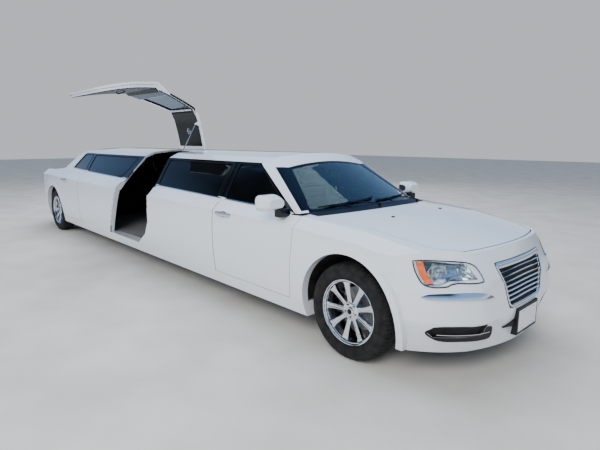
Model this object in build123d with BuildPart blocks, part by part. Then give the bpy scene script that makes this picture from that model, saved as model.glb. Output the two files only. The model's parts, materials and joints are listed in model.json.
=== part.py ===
from build123d import *
from collections import namedtuple
from math import cos, hypot, radians, sin
import os

# Stretch limousine: a full-size rear-drive saloon lengthened between its doors.
# Frame: +X forward, +Y left, +Z up; origin on the ground, on the centre line, at mid-length.

# Driving dimensions, mm
LENGTH = 8854
WIDTH = 1902
WHEELBASE = 6862
FRONT_OVERHANG = 905
TRACK = 1610
TYRE_R = 363.5
TYRE_W = 225
RIM_R = 245
RIM_SEAT_R = 228
SPOKES = 9
HUB_R = 62
DISC_R = 165
ARCH_R = 440
LINER_R = 452
LINER_T = 6
HINGE_FIT = 0.6
BODY_BOTTOM = 215
SILL_TOP = 325
SILL_DEPTH = 120
WAIST_Z = 620
SKIN = 25
WALL = 60
ROOF_WALL = 22
GAP = 8
DOOR_SET = 5.5
GULL_GAP = 12
LIP = 15
SEAT = 0.3
GLASS_SET = 4
GLASS_T = 5
LINING_T = 8
DOOR_TOP = 1388
FLARE = 8
FLARE_R = 492
REACH = 1300

FRONT_X = LENGTH / 2
FRONT_AXLE_X = FRONT_X - FRONT_OVERHANG
REAR_AXLE_X = FRONT_AXLE_X - WHEELBASE
AXLES = (FRONT_AXLE_X, REAR_AXLE_X)
HALF_TRACK = TRACK / 2
WAIST = WIDTH / 2 - 2
RIGHT, LEFT = 1, -1

# Seams along the side, front to rear
DOOR_FRONT_LOW_X = 2925
DOOR_FRONT_BELT_X = 2984
B_SEAM_X = 1822
GULL_FRONT_X = 400
GULL_REAR_TOP_X = -235
REAR_DOOR_X = -2042
REAR_DOOR_BACK_X = -2870
BELT_FRONT_Z = 1006
BELT_RISE = 0.02
FRAME_SET = 8

# Gull-wing door: fore-and-aft hinge in the roof, stored open as in the photograph
GULL_HINGE_Y = -100
GULL_HINGE_Z = 1482
GULL_OPEN = 84

# Gas strut of the gull-wing door, in the cross plane: fixed pin, and door pin with the door shut
STRUT_X = 375
STRUT_FOOT = (-740, 902)
STRUT_HEAD_SHUT = (-430, 1380)
STRUT_TUBE_R = 11
STRUT_BORE_R = 6
STRUT_TUBE = 500
STRUT_ROD_R = 5.5
STRUT_EYE_R = 11

# Front and rear ends
LAMP_REAR_X = 4050
FASCIA_SEAM_Z = 722
FASCIA_TOP_X = 4112
TAIL_SEAM_Z = 600
BOOT_FRONT_X = -3480
BOOT_HALF_W = 690
BOOT_BOTTOM_Z = 625
PLATE_W, PLATE_H = 305, 152

os.makedirs("parts", exist_ok=True)

Station = namedtuple("Station", "x sill waist shoulder shoulder_z edge edge_z crown_z")
STATIONS = [
    Station(4440, 850, 935, 880, 735, 770, 800, 868),
    Station(4180, 870, 944, 915, 800, 790, 868, 912),
    Station(3620, 893, WAIST, 932, 890, 815, 960, 1005),
    Station(2960, 900, WAIST, 938, 925, 850, 1002, 1045),
    Station(800, 900, WAIST, 940, 945, 850, 1040, 1062),
    Station(-2500, 900, WAIST, 940, 975, 850, 1080, 1092),
    Station(-3600, 896, WAIST, 930, 985, 800, 1078, 1118),
    Station(-4440, 860, 915, 880, 960, 730, 1045, 1090),
]

# Plan outlines of nose and tail, by height
End = namedtuple("End", "z nose bow nose_corner nose_flank tail tail_bow tail_corner tail_flank")
BOW_Y = 550
ENDS = [
    End(150, 4395, 4250, (4110, 710), (3890, 862), -4370, -4310, (-4215, 740), (-3990, 870)),
    End(450, FRONT_X, 4388, (4275, 742), (3985, 918), -FRONT_X, -4385, (-4300, 765), (-4040, 915)),
    End(660, 4402, 4362, (4262, 742), (3985, 918), -4412, -4372, (-4290, 765), (-4040, 915)),
    End(920, 4308, 4222, (4105, 715), (3850, 905), -4372, -4330, (-4255, 760), (-4020, 905)),
    End(1160, 4180, 4100, (3985, 700), (3760, 900), -4350, -4300, (-4220, 750), (-3990, 890)),
]

Cabin = namedtuple("Cabin", "x belt rail rail_z roof roof_z crown_z")
CABIN_BASE_Z = 900
CABIN_BULGE = 12
CABIN = [
    Cabin(3260, 850, 560, 1352, 450, 1405, 1440),
    Cabin(2250, 905, 630, 1385, 520, 1438, 1476),
    Cabin(-1900, 905, 630, 1385, 520, 1438, 1478),
    Cabin(-3650, 830, 560, 1352, 450, 1404, 1442),
]

# Screens, as plan arcs low and high: centre, then a point at the arc's side
Screen = namedtuple("Screen", "z front front_side rear rear_side")
SCREEN_SIDE_Y = 800
SCREEN_SINE = 0.5
SCREENS = [Screen(950, 3237, 3007, -3650, -3530), Screen(1500, 2283, 2053, -2670, -2550)]


def finish(builder, label):
    builder.part.label = label
    export_step(builder.part, f"parts/{label}.step")


def belt_z(x, above=0):
    return BELT_FRONT_Z + (DOOR_FRONT_BELT_X - x) * BELT_RISE + above


# Body masses

def section_loft(inset):
    with BuildPart() as mass:
        for s in STATIONS:
            with BuildSketch(Plane.YZ.offset(s.x)):
                with BuildLine():
                    foot, foot_z = s.sill - inset, BODY_BOTTOM - inset
                    brow, brow_z = s.shoulder - inset, s.shoulder_z - inset * 0.4
                    edge, edge_z = s.edge - inset, s.edge_z - inset
                    Line((-foot, foot_z), (foot, foot_z))
                    ThreePointArc((foot, foot_z), (s.waist - inset, WAIST_Z), (brow, brow_z))
                    Line((brow, brow_z), (edge, edge_z))
                    ThreePointArc((edge, edge_z), (0, s.crown_z - inset), (-edge, edge_z))
                    Line((-edge, edge_z), (-brow, brow_z))
                    ThreePointArc((-brow, brow_z), (-s.waist + inset, WAIST_Z), (-foot, foot_z))
                make_face()
        loft(ruled=True)
    return mass.part


def end_loft(inset):
    slant = inset * 0.7
    wide = WIDTH / 2 + 60
    with BuildPart() as mass:
        for e in ENDS:
            (cx, cy), (fx, fy) = e.nose_corner, e.nose_flank
            (tx, ty), (gx, gy) = e.tail_corner, e.tail_flank
            with BuildSketch(Plane.XY.offset(e.z)):
                with BuildLine():
                    nose, nose_bow = e.nose - inset, e.bow - inset
                    tail, tail_bow = e.tail + inset, e.tail_bow + inset
                    ThreePointArc((nose_bow, BOW_Y), (nose, 0), (nose_bow, -BOW_Y))
                    ThreePointArc((tail_bow, BOW_Y), (tail, 0), (tail_bow, -BOW_Y))
                    for side in (1, -1):
                        flank = (fx - slant, side * (fy - inset))
                        rear_flank = (gx + slant, side * (gy - inset))
                        ThreePointArc((nose_bow, side * BOW_Y), (cx - slant, side * (cy - slant)), flank)
                        Line(flank, (fx - 500, side * wide))
                        Line((fx - 500, side * wide), (gx + 500, side * wide))
                        Line((gx + 500, side * wide), rear_flank)
                        ThreePointArc(
                            rear_flank, (tx + slant, side * (ty - slant)), (tail_bow, side * BOW_Y)
                        )
                make_face()
        loft(ruled=True)
    return mass.part


def lower_mass(inset):
    """Body below the glass: cross sections along the car, trimmed by its plan at nose and tail."""
    with BuildPart() as mass:
        add(section_loft(inset))
        add(end_loft(inset), mode=Mode.INTERSECT)
    return mass.part


def cabin_mass(inset):
    """Glasshouse: leaning sides and crowned roof, trimmed by the bowed screens."""
    along = inset / SCREEN_SINE
    side_y = SCREEN_SIDE_Y
    wide = WIDTH / 2 + 60
    with BuildPart() as screens:
        for s in SCREENS:
            front, front_side = s.front - along, s.front_side - along
            rear, rear_side = s.rear + along, s.rear_side + along
            with BuildSketch(Plane.XY.offset(s.z)):
                with BuildLine():
                    ThreePointArc((front_side, -side_y), (front, 0), (front_side, side_y))
                    ThreePointArc((rear_side, -side_y), (rear, 0), (rear_side, side_y))
                    for side in (1, -1):
                        Line((front_side, side * side_y), (front_side - 200, side * wide))
                        Line((front_side - 200, side * wide), (rear_side + 200, side * wide))
                        Line((rear_side + 200, side * wide), (rear_side, side * side_y))
                make_face()
        loft(ruled=True)
    with BuildPart() as mass:
        for c in CABIN:
            with BuildSketch(Plane.YZ.offset(c.x)):
                with BuildLine():
                    belt, rail, roof = c.belt - inset, c.rail - inset, c.roof - inset
                    rail_z, roof_z = c.rail_z - inset * 0.6, c.roof_z - inset
                    middle = (belt + rail) / 2 + CABIN_BULGE
                    middle_z = (CABIN_BASE_Z + rail_z) / 2
                    Line((-belt, CABIN_BASE_Z), (belt, CABIN_BASE_Z))
                    ThreePointArc((belt, CABIN_BASE_Z), (middle, middle_z), (rail, rail_z))
                    Line((rail, rail_z), (roof, roof_z))
                    ThreePointArc((roof, roof_z), (0, c.crown_z - inset), (-roof, roof_z))
                    Line((-roof, roof_z), (-rail, rail_z))
                    ThreePointArc((-rail, rail_z), (-middle, middle_z), (-belt, CABIN_BASE_Z))
                make_face()
        loft(ruled=True)
        add(screens.part, mode=Mode.INTERSECT)
    return mass.part


def shell_of(outer, *inner):
    with BuildPart() as shell:
        add(outer)
        for mass in inner:
            add(mass, mode=Mode.SUBTRACT)
    return shell.part


with BuildPart() as flares:
    add(section_loft(-FLARE))
    with BuildSketch(Plane.XZ):
        for axle_x in AXLES:
            with Locations((axle_x, TYRE_R)):
                Circle(FLARE_R)
    extrude(amount=REACH, both=True, mode=Mode.INTERSECT)

lower_outside, cabin_outside = lower_mass(0), cabin_mass(0)
cabin_inside = cabin_mass(ROOF_WALL)

with BuildPart() as whole:
    add(lower_outside)
    add(cabin_outside)
    add(flares.part)
    with BuildSketch(Plane.XZ):
        for axle_x in AXLES:
            with Locations((axle_x, TYRE_R)):
                Circle(ARCH_R)
    extrude(amount=REACH, both=True, mode=Mode.SUBTRACT)

outside = whole.part
inner_mass = lower_mass(WALL + SEAT)
skin_shell = shell_of(outside, lower_mass(SKIN), cabin_inside)
wall_shell = shell_of(outside, lower_mass(WALL), cabin_inside)
glass_shell = shell_of(cabin_mass(GLASS_SET), cabin_mass(GLASS_SET + GLASS_T))


# Side-view outlines, as (x, z) of the seam lines

ROOF_HIGH_Z = 1560
PILLAR_LOW = (2868, BELT_FRONT_Z)
PILLAR_HIGH = (2201, DOOR_TOP)
FRONT_DOOR = [
    (DOOR_FRONT_LOW_X, SILL_TOP),
    (DOOR_FRONT_BELT_X, BELT_FRONT_Z),
    PILLAR_LOW,
    PILLAR_HIGH,
    (B_SEAM_X + FRAME_SET, DOOR_TOP),
    (B_SEAM_X + FRAME_SET, belt_z(B_SEAM_X, -15)),
    (B_SEAM_X, belt_z(B_SEAM_X, -25)),
    (B_SEAM_X, SILL_TOP),
]
FRONT_DOOR_WINDOW = [(1900, 1043), (2770, 1026), (2245, 1340), (2170, 1362), (1900, 1362)]
GULL_FRONT_EDGE = [(50, SILL_TOP), (300, 480), (GULL_FRONT_X, 640)]
GULL_REAR_EDGE = [(GULL_REAR_TOP_X, DOOR_TOP), (-500, 1020), (-700, 600), (-860, SILL_TOP)]
GULL_DOOR = (
    GULL_FRONT_EDGE
    + [(GULL_FRONT_X, ROOF_HIGH_Z), (GULL_REAR_TOP_X, ROOF_HIGH_Z)]
    + GULL_REAR_EDGE
)
GULL_WINDOW = [(325, 1074), (325, 1362), (-193, 1362), (-388, 1088)]
SIDE_FRONT = [(B_SEAM_X, SILL_TOP), (B_SEAM_X, DOOR_TOP), (GULL_FRONT_X, DOOR_TOP)] + GULL_FRONT_EDGE[::-1]
SIDE_FRONT_WINDOW = [(1750, 1046), (1750, 1362), (478, 1364), (478, 1071)]
SIDE_REAR = [(REAR_DOOR_X, SILL_TOP), (REAR_DOOR_X, DOOR_TOP)] + GULL_REAR_EDGE
SIDE_REAR_WINDOW = [(-1970, 1121), (-1970, 1362), (-420, 1362), (-650, 1094)]
SIDE_LEFT = [
    (B_SEAM_X, SILL_TOP), (B_SEAM_X, DOOR_TOP), (REAR_DOOR_X, DOOR_TOP), (REAR_DOOR_X, SILL_TOP)
]
SIDE_LEFT_WINDOWS = [
    [(1750, 1046), (1750, 1362), (-110, 1362), (-110, 1083)],
    [(-190, 1085), (-190, 1362), (-1970, 1362), (-1970, 1121)],
]
REAR_DOOR = [
    (REAR_DOOR_X, SILL_TOP),
    (REAR_DOOR_X, DOOR_TOP),
    (-2552, DOOR_TOP),
    (-2842, 1118),
    (REAR_DOOR_BACK_X, 900),
    (REAR_DOOR_BACK_X, SILL_TOP),
]
REAR_DOOR_WINDOW = [(-2115, 1124), (-2115, 1362), (-2505, 1362), (-2745, 1139)]
REAR_BODY = [
    (REAR_DOOR_X - 100, SILL_TOP),
    (REAR_DOOR_X - 100, DOOR_TOP),
    (-3700, DOOR_TOP),
    (-4500, 1200),
    (-4500, TAIL_SEAM_Z),
    (REAR_AXLE_X, TAIL_SEAM_Z),
    (REAR_AXLE_X, SILL_TOP),
]
ROOF_SIDE = [
    (3300, BELT_FRONT_Z), PILLAR_LOW, PILLAR_HIGH, (-3700, DOOR_TOP), (-3700, ROOF_HIGH_Z),
    (3300, ROOF_HIGH_Z),
]
FENDER = [
    (DOOR_FRONT_LOW_X, SILL_TOP),
    (DOOR_FRONT_BELT_X, BELT_FRONT_Z),
    (DOOR_FRONT_BELT_X, 1100),
    (FASCIA_TOP_X, 1100),
    (FASCIA_TOP_X, FASCIA_SEAM_Z),
    (FRONT_AXLE_X, FASCIA_SEAM_Z),
    (FRONT_AXLE_X, SILL_TOP),
]
FASCIA = [
    (FASCIA_TOP_X, 1100), (FASCIA_TOP_X, FASCIA_SEAM_Z), (FRONT_AXLE_X, FASCIA_SEAM_Z),
    (FRONT_AXLE_X, 100), (4600, 100), (4600, 1100),
]
REAR_FASCIA = [
    (REAR_AXLE_X, TAIL_SEAM_Z), (REAR_AXLE_X, 100), (-4600, 100), (-4600, TAIL_SEAM_Z)
]
LAMP_SIDE = [(LAMP_REAR_X, 846), (4110, 700), (4110, 600), (4600, 600), (4600, 1000), (LAMP_REAR_X, 1000)]
BOOT_SIDE = [(BOOT_FRONT_X, 1200), (BOOT_FRONT_X, BOOT_BOTTOM_Z), (-4600, BOOT_BOTTOM_Z), (-4600, 1200)]

# Outlines seen from the front, as (y, z)
WINDSCREEN_LOW, WINDSCREEN_HIGH = (727, 1012), (528, 1350)
REAR_WINDOW_LOW, REAR_WINDOW_HIGH = (640, 1128), (500, 1350)
LAMP_FACE = [(566, 724), (600, 812), (650, 838), (960, 852), (960, 700), (800, 694), (742, 722)]
GRILLE_HIGH, GRILLE_LOW = (362, 795), (262, 478)
SIDE_GRILLE = [(512, 428), (818, 428), (824, 380), (790, 345), (512, 345)]
STRIP_FACE = [(520, 628), (520, 656), (840, 660), (850, 640), (800, 628)]
TAIL_LAMP_FACE = [(700, 640), (700, 985), (745, 1005), (960, 1005), (960, 620), (730, 612)]

# Outline of the bonnet from above, as (x, y)
BONNET_REAR, BONNET_REAR_MID = (3060, 795), (3235, 0)
BONNET_FRONT, BONNET_LIP, BONNET_NOSE = (4040, 690), (4205, 560), (4292, 0)
BONNET_LOW_Z = 780


def draw(points, gap=0, arch=0):
    """Seam outline in the active sketch, drawn in by half its gap and kept off the wheel arch."""
    Polygon(*points, align=None)
    if arch:
        with Locations((REAR_AXLE_X, TYRE_R)):
            Circle(arch, mode=Mode.SUBTRACT)
    if gap:
        offset(amount=-gap, kind=Kind.INTERSECTION)


def clip(shape, points, side, gap=0, inner_y=0, arch=0):
    """What lies inside a side-view outline, on one side of the car."""
    with BuildPart() as piece:
        add(shape)
        with BuildSketch(Plane.XZ.offset(side * inner_y)):
            draw(points, gap, arch)
        extrude(amount=side * REACH, mode=Mode.INTERSECT)
    return piece.part


def prism(points, side, grow=0):
    """Side-view outline run out through one side of the car, for cutting windows."""
    with BuildPart() as cutter:
        with BuildSketch(Plane.XZ):
            draw(points)
            if grow:
                offset(amount=grow, kind=Kind.INTERSECTION)
        extrude(amount=side * REACH)
    return cutter.part


def hung_panel(points, window, side, gap, inner_y=0, arch=0):
    """Door or gull-wing: a skin to the seam, a thicker core set back by the lip, window cut through."""
    with BuildPart() as panel:
        add(clip(skin_shell, points, side, gap, inner_y, arch))
        add(clip(wall_shell, points, side, gap + LIP, inner_y, arch))
        add(prism(window, side), mode=Mode.SUBTRACT)
    return panel.part


def pane(points, side):
    return clip(glass_shell, points, side, SEAT)


def screen_block(low, high, lift, x_from, x_to, shrink=0):
    """Outline of a screen seen from ahead, run along the car between two stations."""
    (low_y, low_z), (high_y, high_z) = low, high
    with BuildPart() as block:
        with BuildSketch(Plane.YZ.offset(x_from)):
            with BuildLine():
                ThreePointArc((-low_y, low_z), (0, low_z + lift / 2), (low_y, low_z))
                Line((low_y, low_z), (high_y, high_z))
                ThreePointArc((high_y, high_z), (0, high_z + lift), (-high_y, high_z))
                Line((-high_y, high_z), (-low_y, low_z))
            make_face()
            if shrink:
                offset(amount=-shrink)
        extrude(amount=x_to - x_from)
    return block.part


WINDSCREEN = (WINDSCREEN_LOW, WINDSCREEN_HIGH, 48, 1500, 4000)
REAR_WINDOW = (REAR_WINDOW_LOW, REAR_WINDOW_HIGH, 40, -4400, -2400)


def bonnet_block(grow):
    """Outline of the bonnet from above, run up through it."""
    (rx, ry), (fx, fy), (lx, ly) = BONNET_REAR, BONNET_FRONT, BONNET_LIP
    (mx, my), (nx, ny) = BONNET_REAR_MID, BONNET_NOSE
    with BuildPart() as block:
        with BuildSketch(Plane.XY.offset(BONNET_LOW_Z)):
            with BuildLine():
                ThreePointArc((rx - grow, -ry - grow), (mx - grow, my), (rx - grow, ry + grow))
                ThreePointArc((lx + grow, ly + grow / 2), (nx + grow, ny), (lx + grow, -ly - grow / 2))
                for side in (1, -1):
                    Polyline(
                        (rx - grow, side * (ry + grow)),
                        (fx, side * (fy + grow)),
                        (lx + grow, side * (ly + grow / 2)),
                    )
            make_face()
        extrude(amount=400)
    return block.part


def box_at(low, high):
    """Box between two corners."""
    with BuildPart() as box:
        with Locations(low):
            Box(*[b - a for a, b in zip(low, high)], align=(Align.MIN, Align.MIN, Align.MIN))
    return box.part


def mirrored(low, high):
    """Box between two corners on the left, and its twin on the right."""
    with BuildPart() as pair:
        add(box_at(low, high))
        mirror(about=Plane.XZ)
    return pair.part


COWL_HALF_W = 762
COWL_REAR_X, COWL_FRONT_X = 2880, 3300
cowl_cut = box_at((2600, -COWL_HALF_W - GAP, BONNET_LOW_Z), (COWL_FRONT_X, COWL_HALF_W + GAP, 1012))

# Hinge leaves in the rebate of each side door: height, and inner face across the car
Leaf = namedtuple("Leaf", "z y")
LEAVES = [Leaf(450, 880), Leaf(820, 889)]
LEAF_T, LEAF_H = 26, 90


def door_seam_x(name, z):
    if "rear" in name:
        return REAR_DOOR_X
    share = (z - SILL_TOP) / (BELT_FRONT_Z - SILL_TOP)
    return DOOR_FRONT_LOW_X + share * (DOOR_FRONT_BELT_X - DOOR_FRONT_LOW_X)


def hinge_leaves(name, side, on_door):
    """Leaves from the door's core or from its pillar, meeting in the middle of the rebate."""
    with BuildPart() as leaves:
        for leaf in LEAVES:
            seam = door_seam_x(name, leaf.z)
            middle = seam - LIP / 2 - (2 * DOOR_SET - GAP) / 2
            if on_door:
                x_low, x_high = seam - DOOR_SET - LIP - 8, middle - HINGE_FIT / 2
            else:
                x_low, x_high = middle + HINGE_FIT / 2, seam + GAP - DOOR_SET + 8
            y_low = -leaf.y - LEAF_T if side == RIGHT else leaf.y
            add(box_at((x_low, y_low, leaf.z - LEAF_H / 2), (x_high, y_low + LEAF_T, leaf.z + LEAF_H / 2)))
    return leaves.part


# Doors and their glass

Door = namedtuple("Door", "name outline window arch")
DOORS = [
    Door("front_door", FRONT_DOOR, FRONT_DOOR_WINDOW, 0),
    Door("rear_door", REAR_DOOR, REAR_DOOR_WINDOW, FLARE_R + GAP - DOOR_SET),
]
MIRROR_X, MIRROR_Z, MIRROR_Y = 2745, 1095, 985
MIRROR_ARM_Y = 850
MIRROR_ARM_X, MIRROR_ARM_Z = 2812, 1016

for door in DOORS:
    with BuildPart() as door_right:
        add(hung_panel(door.outline, door.window, RIGHT, DOOR_SET, arch=door.arch))
        add(hinge_leaves(door.name, RIGHT, True))
        if door.name == "front_door":
            add(cowl_cut, mode=Mode.SUBTRACT)
            with BuildSketch(Plane.XZ.offset(MIRROR_ARM_Y)):
                with Locations((MIRROR_ARM_X, MIRROR_ARM_Z)):
                    RectangleRounded(76, 66, 12)
            extrude(amount=MIRROR_Y - MIRROR_ARM_Y - 30)
            with BuildSketch(Plane.YZ.offset(MIRROR_X - 55)):
                with Locations((-MIRROR_Y, MIRROR_Z)):
                    RectangleRounded(205, 128, 45)
            with BuildSketch(Plane.YZ.offset(MIRROR_X + 30)):
                with Locations((-MIRROR_Y, MIRROR_Z)):
                    RectangleRounded(200, 118, 50)
            with BuildSketch(Plane.YZ.offset(MIRROR_X + 85)):
                with Locations((-MIRROR_Y + 10, MIRROR_Z)):
                    RectangleRounded(150, 70, 30)
            loft()
    finish(door_right, f"{door.name}_right")

    with BuildPart() as door_left:
        add(mirror(door_right.part, about=Plane.XZ))
    finish(door_left, f"{door.name}_left")

    with BuildPart() as glass_right:
        add(pane(door.window, RIGHT))
    finish(glass_right, f"{door.name}_right_glass")

    with BuildPart() as glass_left:
        add(mirror(glass_right.part, about=Plane.XZ))
    finish(glass_left, f"{door.name}_left_glass")

# Gull-wing door, modelled shut and swung open about its roof hinge
GULL_AXIS = Axis((0, GULL_HINGE_Y, GULL_HINGE_Z), (1, 0, 0))
GULL_EDGE = GULL_GAP - GAP / 2
HINGE_GAP = 4
KNUCKLE_R = 6
KNUCKLE_L = 40
KNUCKLE_X = (-150, 290)
EYE_T = 2 * STRUT_ROD_R + 2
LUG_X = (STRUT_X + EYE_T / 2 + HINGE_FIT, GULL_FRONT_X - GULL_EDGE)


def knuckle(x_from, x_to, radius):
    """Barrel about the gull-wing door's hinge line."""
    with BuildPart() as barrel:
        with BuildSketch(Plane.YZ.offset(x_from)):
            with Locations((GULL_HINGE_Y, GULL_HINGE_Z)):
                Circle(radius)
        extrude(amount=x_to - x_from)
    return barrel.part


def knuckle_tongue(x_from, x_to, reach):
    """Tongue that carries a barrel, from the hinge line into the skin beside it."""
    y_from, y_to = sorted((GULL_HINGE_Y, GULL_HINGE_Y + reach))
    return box_at((x_from, y_from, GULL_HINGE_Z - ROOF_WALL), (x_to, y_to, GULL_HINGE_Z - KNUCKLE_R / 3))


with BuildPart() as gull_shut:
    add(hung_panel(GULL_DOOR, GULL_WINDOW, RIGHT, GULL_EDGE, -GULL_HINGE_Y + HINGE_GAP))
    for x in KNUCKLE_X:
        add(knuckle(x - 1.6 * KNUCKLE_L, x + 1.6 * KNUCKLE_L, KNUCKLE_R + GAP / 2), mode=Mode.SUBTRACT)
        add(knuckle(x - KNUCKLE_L / 2, x + KNUCKLE_L / 2, KNUCKLE_R))
        add(knuckle_tongue(x - KNUCKLE_L / 2, x + KNUCKLE_L / 2, -HINGE_GAP - 14))
    with BuildSketch(Plane.YZ.offset(LUG_X[0])):
        lug_y, lug_z = STRUT_HEAD_SHUT
        Polygon(
            (lug_y - 34, lug_z + 52),
            (lug_y - STRUT_EYE_R, lug_z),
            (lug_y - STRUT_EYE_R * 0.6, lug_z - STRUT_EYE_R),
            (lug_y + STRUT_EYE_R * 0.6, lug_z - STRUT_EYE_R),
            (lug_y + STRUT_EYE_R, lug_z),
            (lug_y + 34, lug_z + 60),
            align=None,
        )
    extrude(amount=LUG_X[1] - LUG_X[0])

with BuildPart() as gull_door:
    add(gull_shut.part.rotate(GULL_AXIS, -GULL_OPEN))
finish(gull_door, "gull_door")

with BuildPart() as gull_door_glass:
    add(pane(GULL_WINDOW, RIGHT).rotate(GULL_AXIS, -GULL_OPEN))
finish(gull_door_glass, "gull_door_glass")

with BuildPart() as gull_lining_shut:
    lining_edge, lining_top = GULL_EDGE + 2 * LIP, -GULL_HINGE_Y + 3 * LIP
    for mass in (inner_mass, cabin_mass(ROOF_WALL + SEAT)):
        add(clip(mass, GULL_DOOR, RIGHT, lining_edge, lining_top))
    add(lower_mass(WALL + LINING_T), mode=Mode.SUBTRACT)
    add(cabin_mass(ROOF_WALL + LINING_T), mode=Mode.SUBTRACT)
    add(prism(GULL_WINDOW, RIGHT, LIP), mode=Mode.SUBTRACT)

with BuildPart() as gull_door_lining:
    add(gull_lining_shut.part.rotate(GULL_AXIS, -GULL_OPEN))
finish(gull_door_lining, "gull_door_lining")

# Fixed body side panels and glass

PILLAR_GAP = GAP - DOOR_SET


def opening(outline, side, arch=0):
    """Door outline grown past its seam by the pillar's share of the gap."""
    with BuildPart() as cutter:
        with BuildSketch(Plane.XZ):
            draw(outline, arch=arch)
            offset(amount=PILLAR_GAP, kind=Kind.INTERSECTION)
        extrude(amount=side * REACH)
    return cutter.part


def fixed_panel(points, side, doors=(), windows=()):
    """Body panel at full wall thickness, less the door openings beside it and its windows."""
    with BuildPart() as panel:
        add(clip(wall_shell, points, side, SEAT / 2))
        for door_opening in doors:
            add(door_opening, mode=Mode.SUBTRACT)
        for window in windows:
            add(prism(window, side), mode=Mode.SUBTRACT)
    return panel.part


door_openings = {
    (door.name, side): opening(door.outline, side, door.arch - GAP + DOOR_SET if door.arch else 0)
    for door in DOORS
    for side in (RIGHT, LEFT)
}
gull_opening = prism(GULL_DOOR, RIGHT, GAP / 2)

FOOT_Y, FOOT_Z = STRUT_FOOT
BRACKET_X = (GULL_FRONT_X + GAP / 2, GULL_FRONT_X + 30)
with BuildPart() as body_side_right:
    for outline, window, name in (
        (SIDE_FRONT, SIDE_FRONT_WINDOW, "front_door"),
        (SIDE_REAR, SIDE_REAR_WINDOW, "rear_door"),
    ):
        add(fixed_panel(outline, RIGHT, (door_openings[name, RIGHT], gull_opening), (window,)))
    add(hinge_leaves("rear_door", RIGHT, False))
    add(box_at((BRACKET_X[0], -900, FOOT_Z - 22), (BRACKET_X[1], FOOT_Y + 18, FOOT_Z + 22)))
    with BuildSketch(Plane.YZ.offset(STRUT_X - STRUT_EYE_R)):
        with Locations((FOOT_Y, FOOT_Z)):
            Circle(STRUT_BORE_R)
    extrude(amount=BRACKET_X[0] + 4 - STRUT_X + STRUT_EYE_R)
finish(body_side_right, "body_side_right")

with BuildPart() as body_side_left:
    left_openings = (door_openings["front_door", LEFT], door_openings["rear_door", LEFT])
    add(fixed_panel(SIDE_LEFT, LEFT, left_openings, SIDE_LEFT_WINDOWS))
    add(hinge_leaves("rear_door", LEFT, False))
finish(body_side_left, "body_side_left")

with BuildPart() as windscreen:
    add(glass_shell)
    add(screen_block(*WINDSCREEN, SEAT), mode=Mode.INTERSECT)
finish(windscreen, "windscreen")

with BuildPart() as rear_window:
    add(glass_shell)
    add(screen_block(*REAR_WINDOW, SEAT), mode=Mode.INTERSECT)

with BuildPart() as fixed_glass:
    add(pane(SIDE_FRONT_WINDOW, RIGHT))
    add(pane(SIDE_REAR_WINDOW, RIGHT))
    for window in SIDE_LEFT_WINDOWS:
        add(pane(window, LEFT))
    add(rear_window.part)
finish(fixed_glass, "fixed_glass")

with BuildPart() as roof:
    add(skin_shell)
    with BuildSketch(Plane.XZ):
        draw(ROOF_SIDE, SEAT / 2)
    extrude(amount=REACH, both=True, mode=Mode.INTERSECT)
    add(lower_outside, mode=Mode.SUBTRACT)
    add(screen_block(*WINDSCREEN), mode=Mode.SUBTRACT)
    add(screen_block(*REAR_WINDOW), mode=Mode.SUBTRACT)
    with BuildSketch(Plane.XY.offset(ROOF_HIGH_Z)):
        with Locations(((GULL_FRONT_X + GULL_REAR_TOP_X) / 2, GULL_HINGE_Y)):
            Rectangle(
                GULL_FRONT_X - GULL_REAR_TOP_X + GAP, REACH, align=(Align.CENTER, Align.MAX)
            )
    extrude(amount=-300, mode=Mode.SUBTRACT)
    for x in KNUCKLE_X:
        end = x + KNUCKLE_L / 2 + SEAT
        add(knuckle(x - KNUCKLE_L / 2 - SEAT, end, KNUCKLE_R + GAP / 2), mode=Mode.SUBTRACT)
        for start in (x - 1.5 * KNUCKLE_L - SEAT, x + KNUCKLE_L / 2 + SEAT):
            add(knuckle(start, start + KNUCKLE_L, KNUCKLE_R))
            add(knuckle_tongue(start, start + KNUCKLE_L, 14))
finish(roof, "roof")

# Bonnet, fenders, cowl and nose

BONNET_GAP = GAP / 2


def face_block(outlines, x_from, x_to, shrink=0):
    """Outlines seen from ahead, as (y, z), on both sides of the car, run along it."""
    with BuildPart() as block:
        with BuildSketch(Plane.YZ.offset(x_from)):
            for points in outlines:
                for side in (1, -1):
                    Polygon(*[(side * y, z) for y, z in points], align=None)
            if shrink:
                offset(amount=-shrink, kind=Kind.INTERSECTION)
        extrude(amount=x_to - x_from)
    return block.part


def side_block(points, shrink=0):
    """Side-view outline run across the whole car."""
    with BuildPart() as block:
        with BuildSketch(Plane.XZ):
            draw(points, shrink)
        extrude(amount=REACH, both=True)
    return block.part


def between(outer, inner, block):
    """The layer between two masses, inside a block."""
    with BuildPart() as layer:
        add(block)
        add(outer, mode=Mode.INTERSECT)
        add(inner, mode=Mode.SUBTRACT)
    return layer.part


def lamp_block(shrink=0):
    with BuildPart() as block:
        add(face_block([LAMP_FACE], 3900, 4600, shrink))
        add(side_block(LAMP_SIDE, shrink), mode=Mode.INTERSECT)
    return block.part


def grille_block(shrink):
    (high_y, high_z), (low_y, low_z) = GRILLE_HIGH, GRILLE_LOW
    with BuildPart() as block:
        with BuildSketch(Plane.YZ.offset(4200)):
            Polygon((high_y, high_z), (-high_y, high_z), (-low_y, low_z), (low_y, low_z), align=None)
            if shrink:
                offset(amount=-shrink, kind=Kind.INTERSECTION)
        extrude(amount=400)
    return block.part


# Bonnet hinge arms at its rear corners, and the brackets they leave
ARM_X, ARM_Y, ARM_Z = 3092, 725, 930
ARM_L, ARM_W, ARM_H = 33, 20, 55

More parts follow.
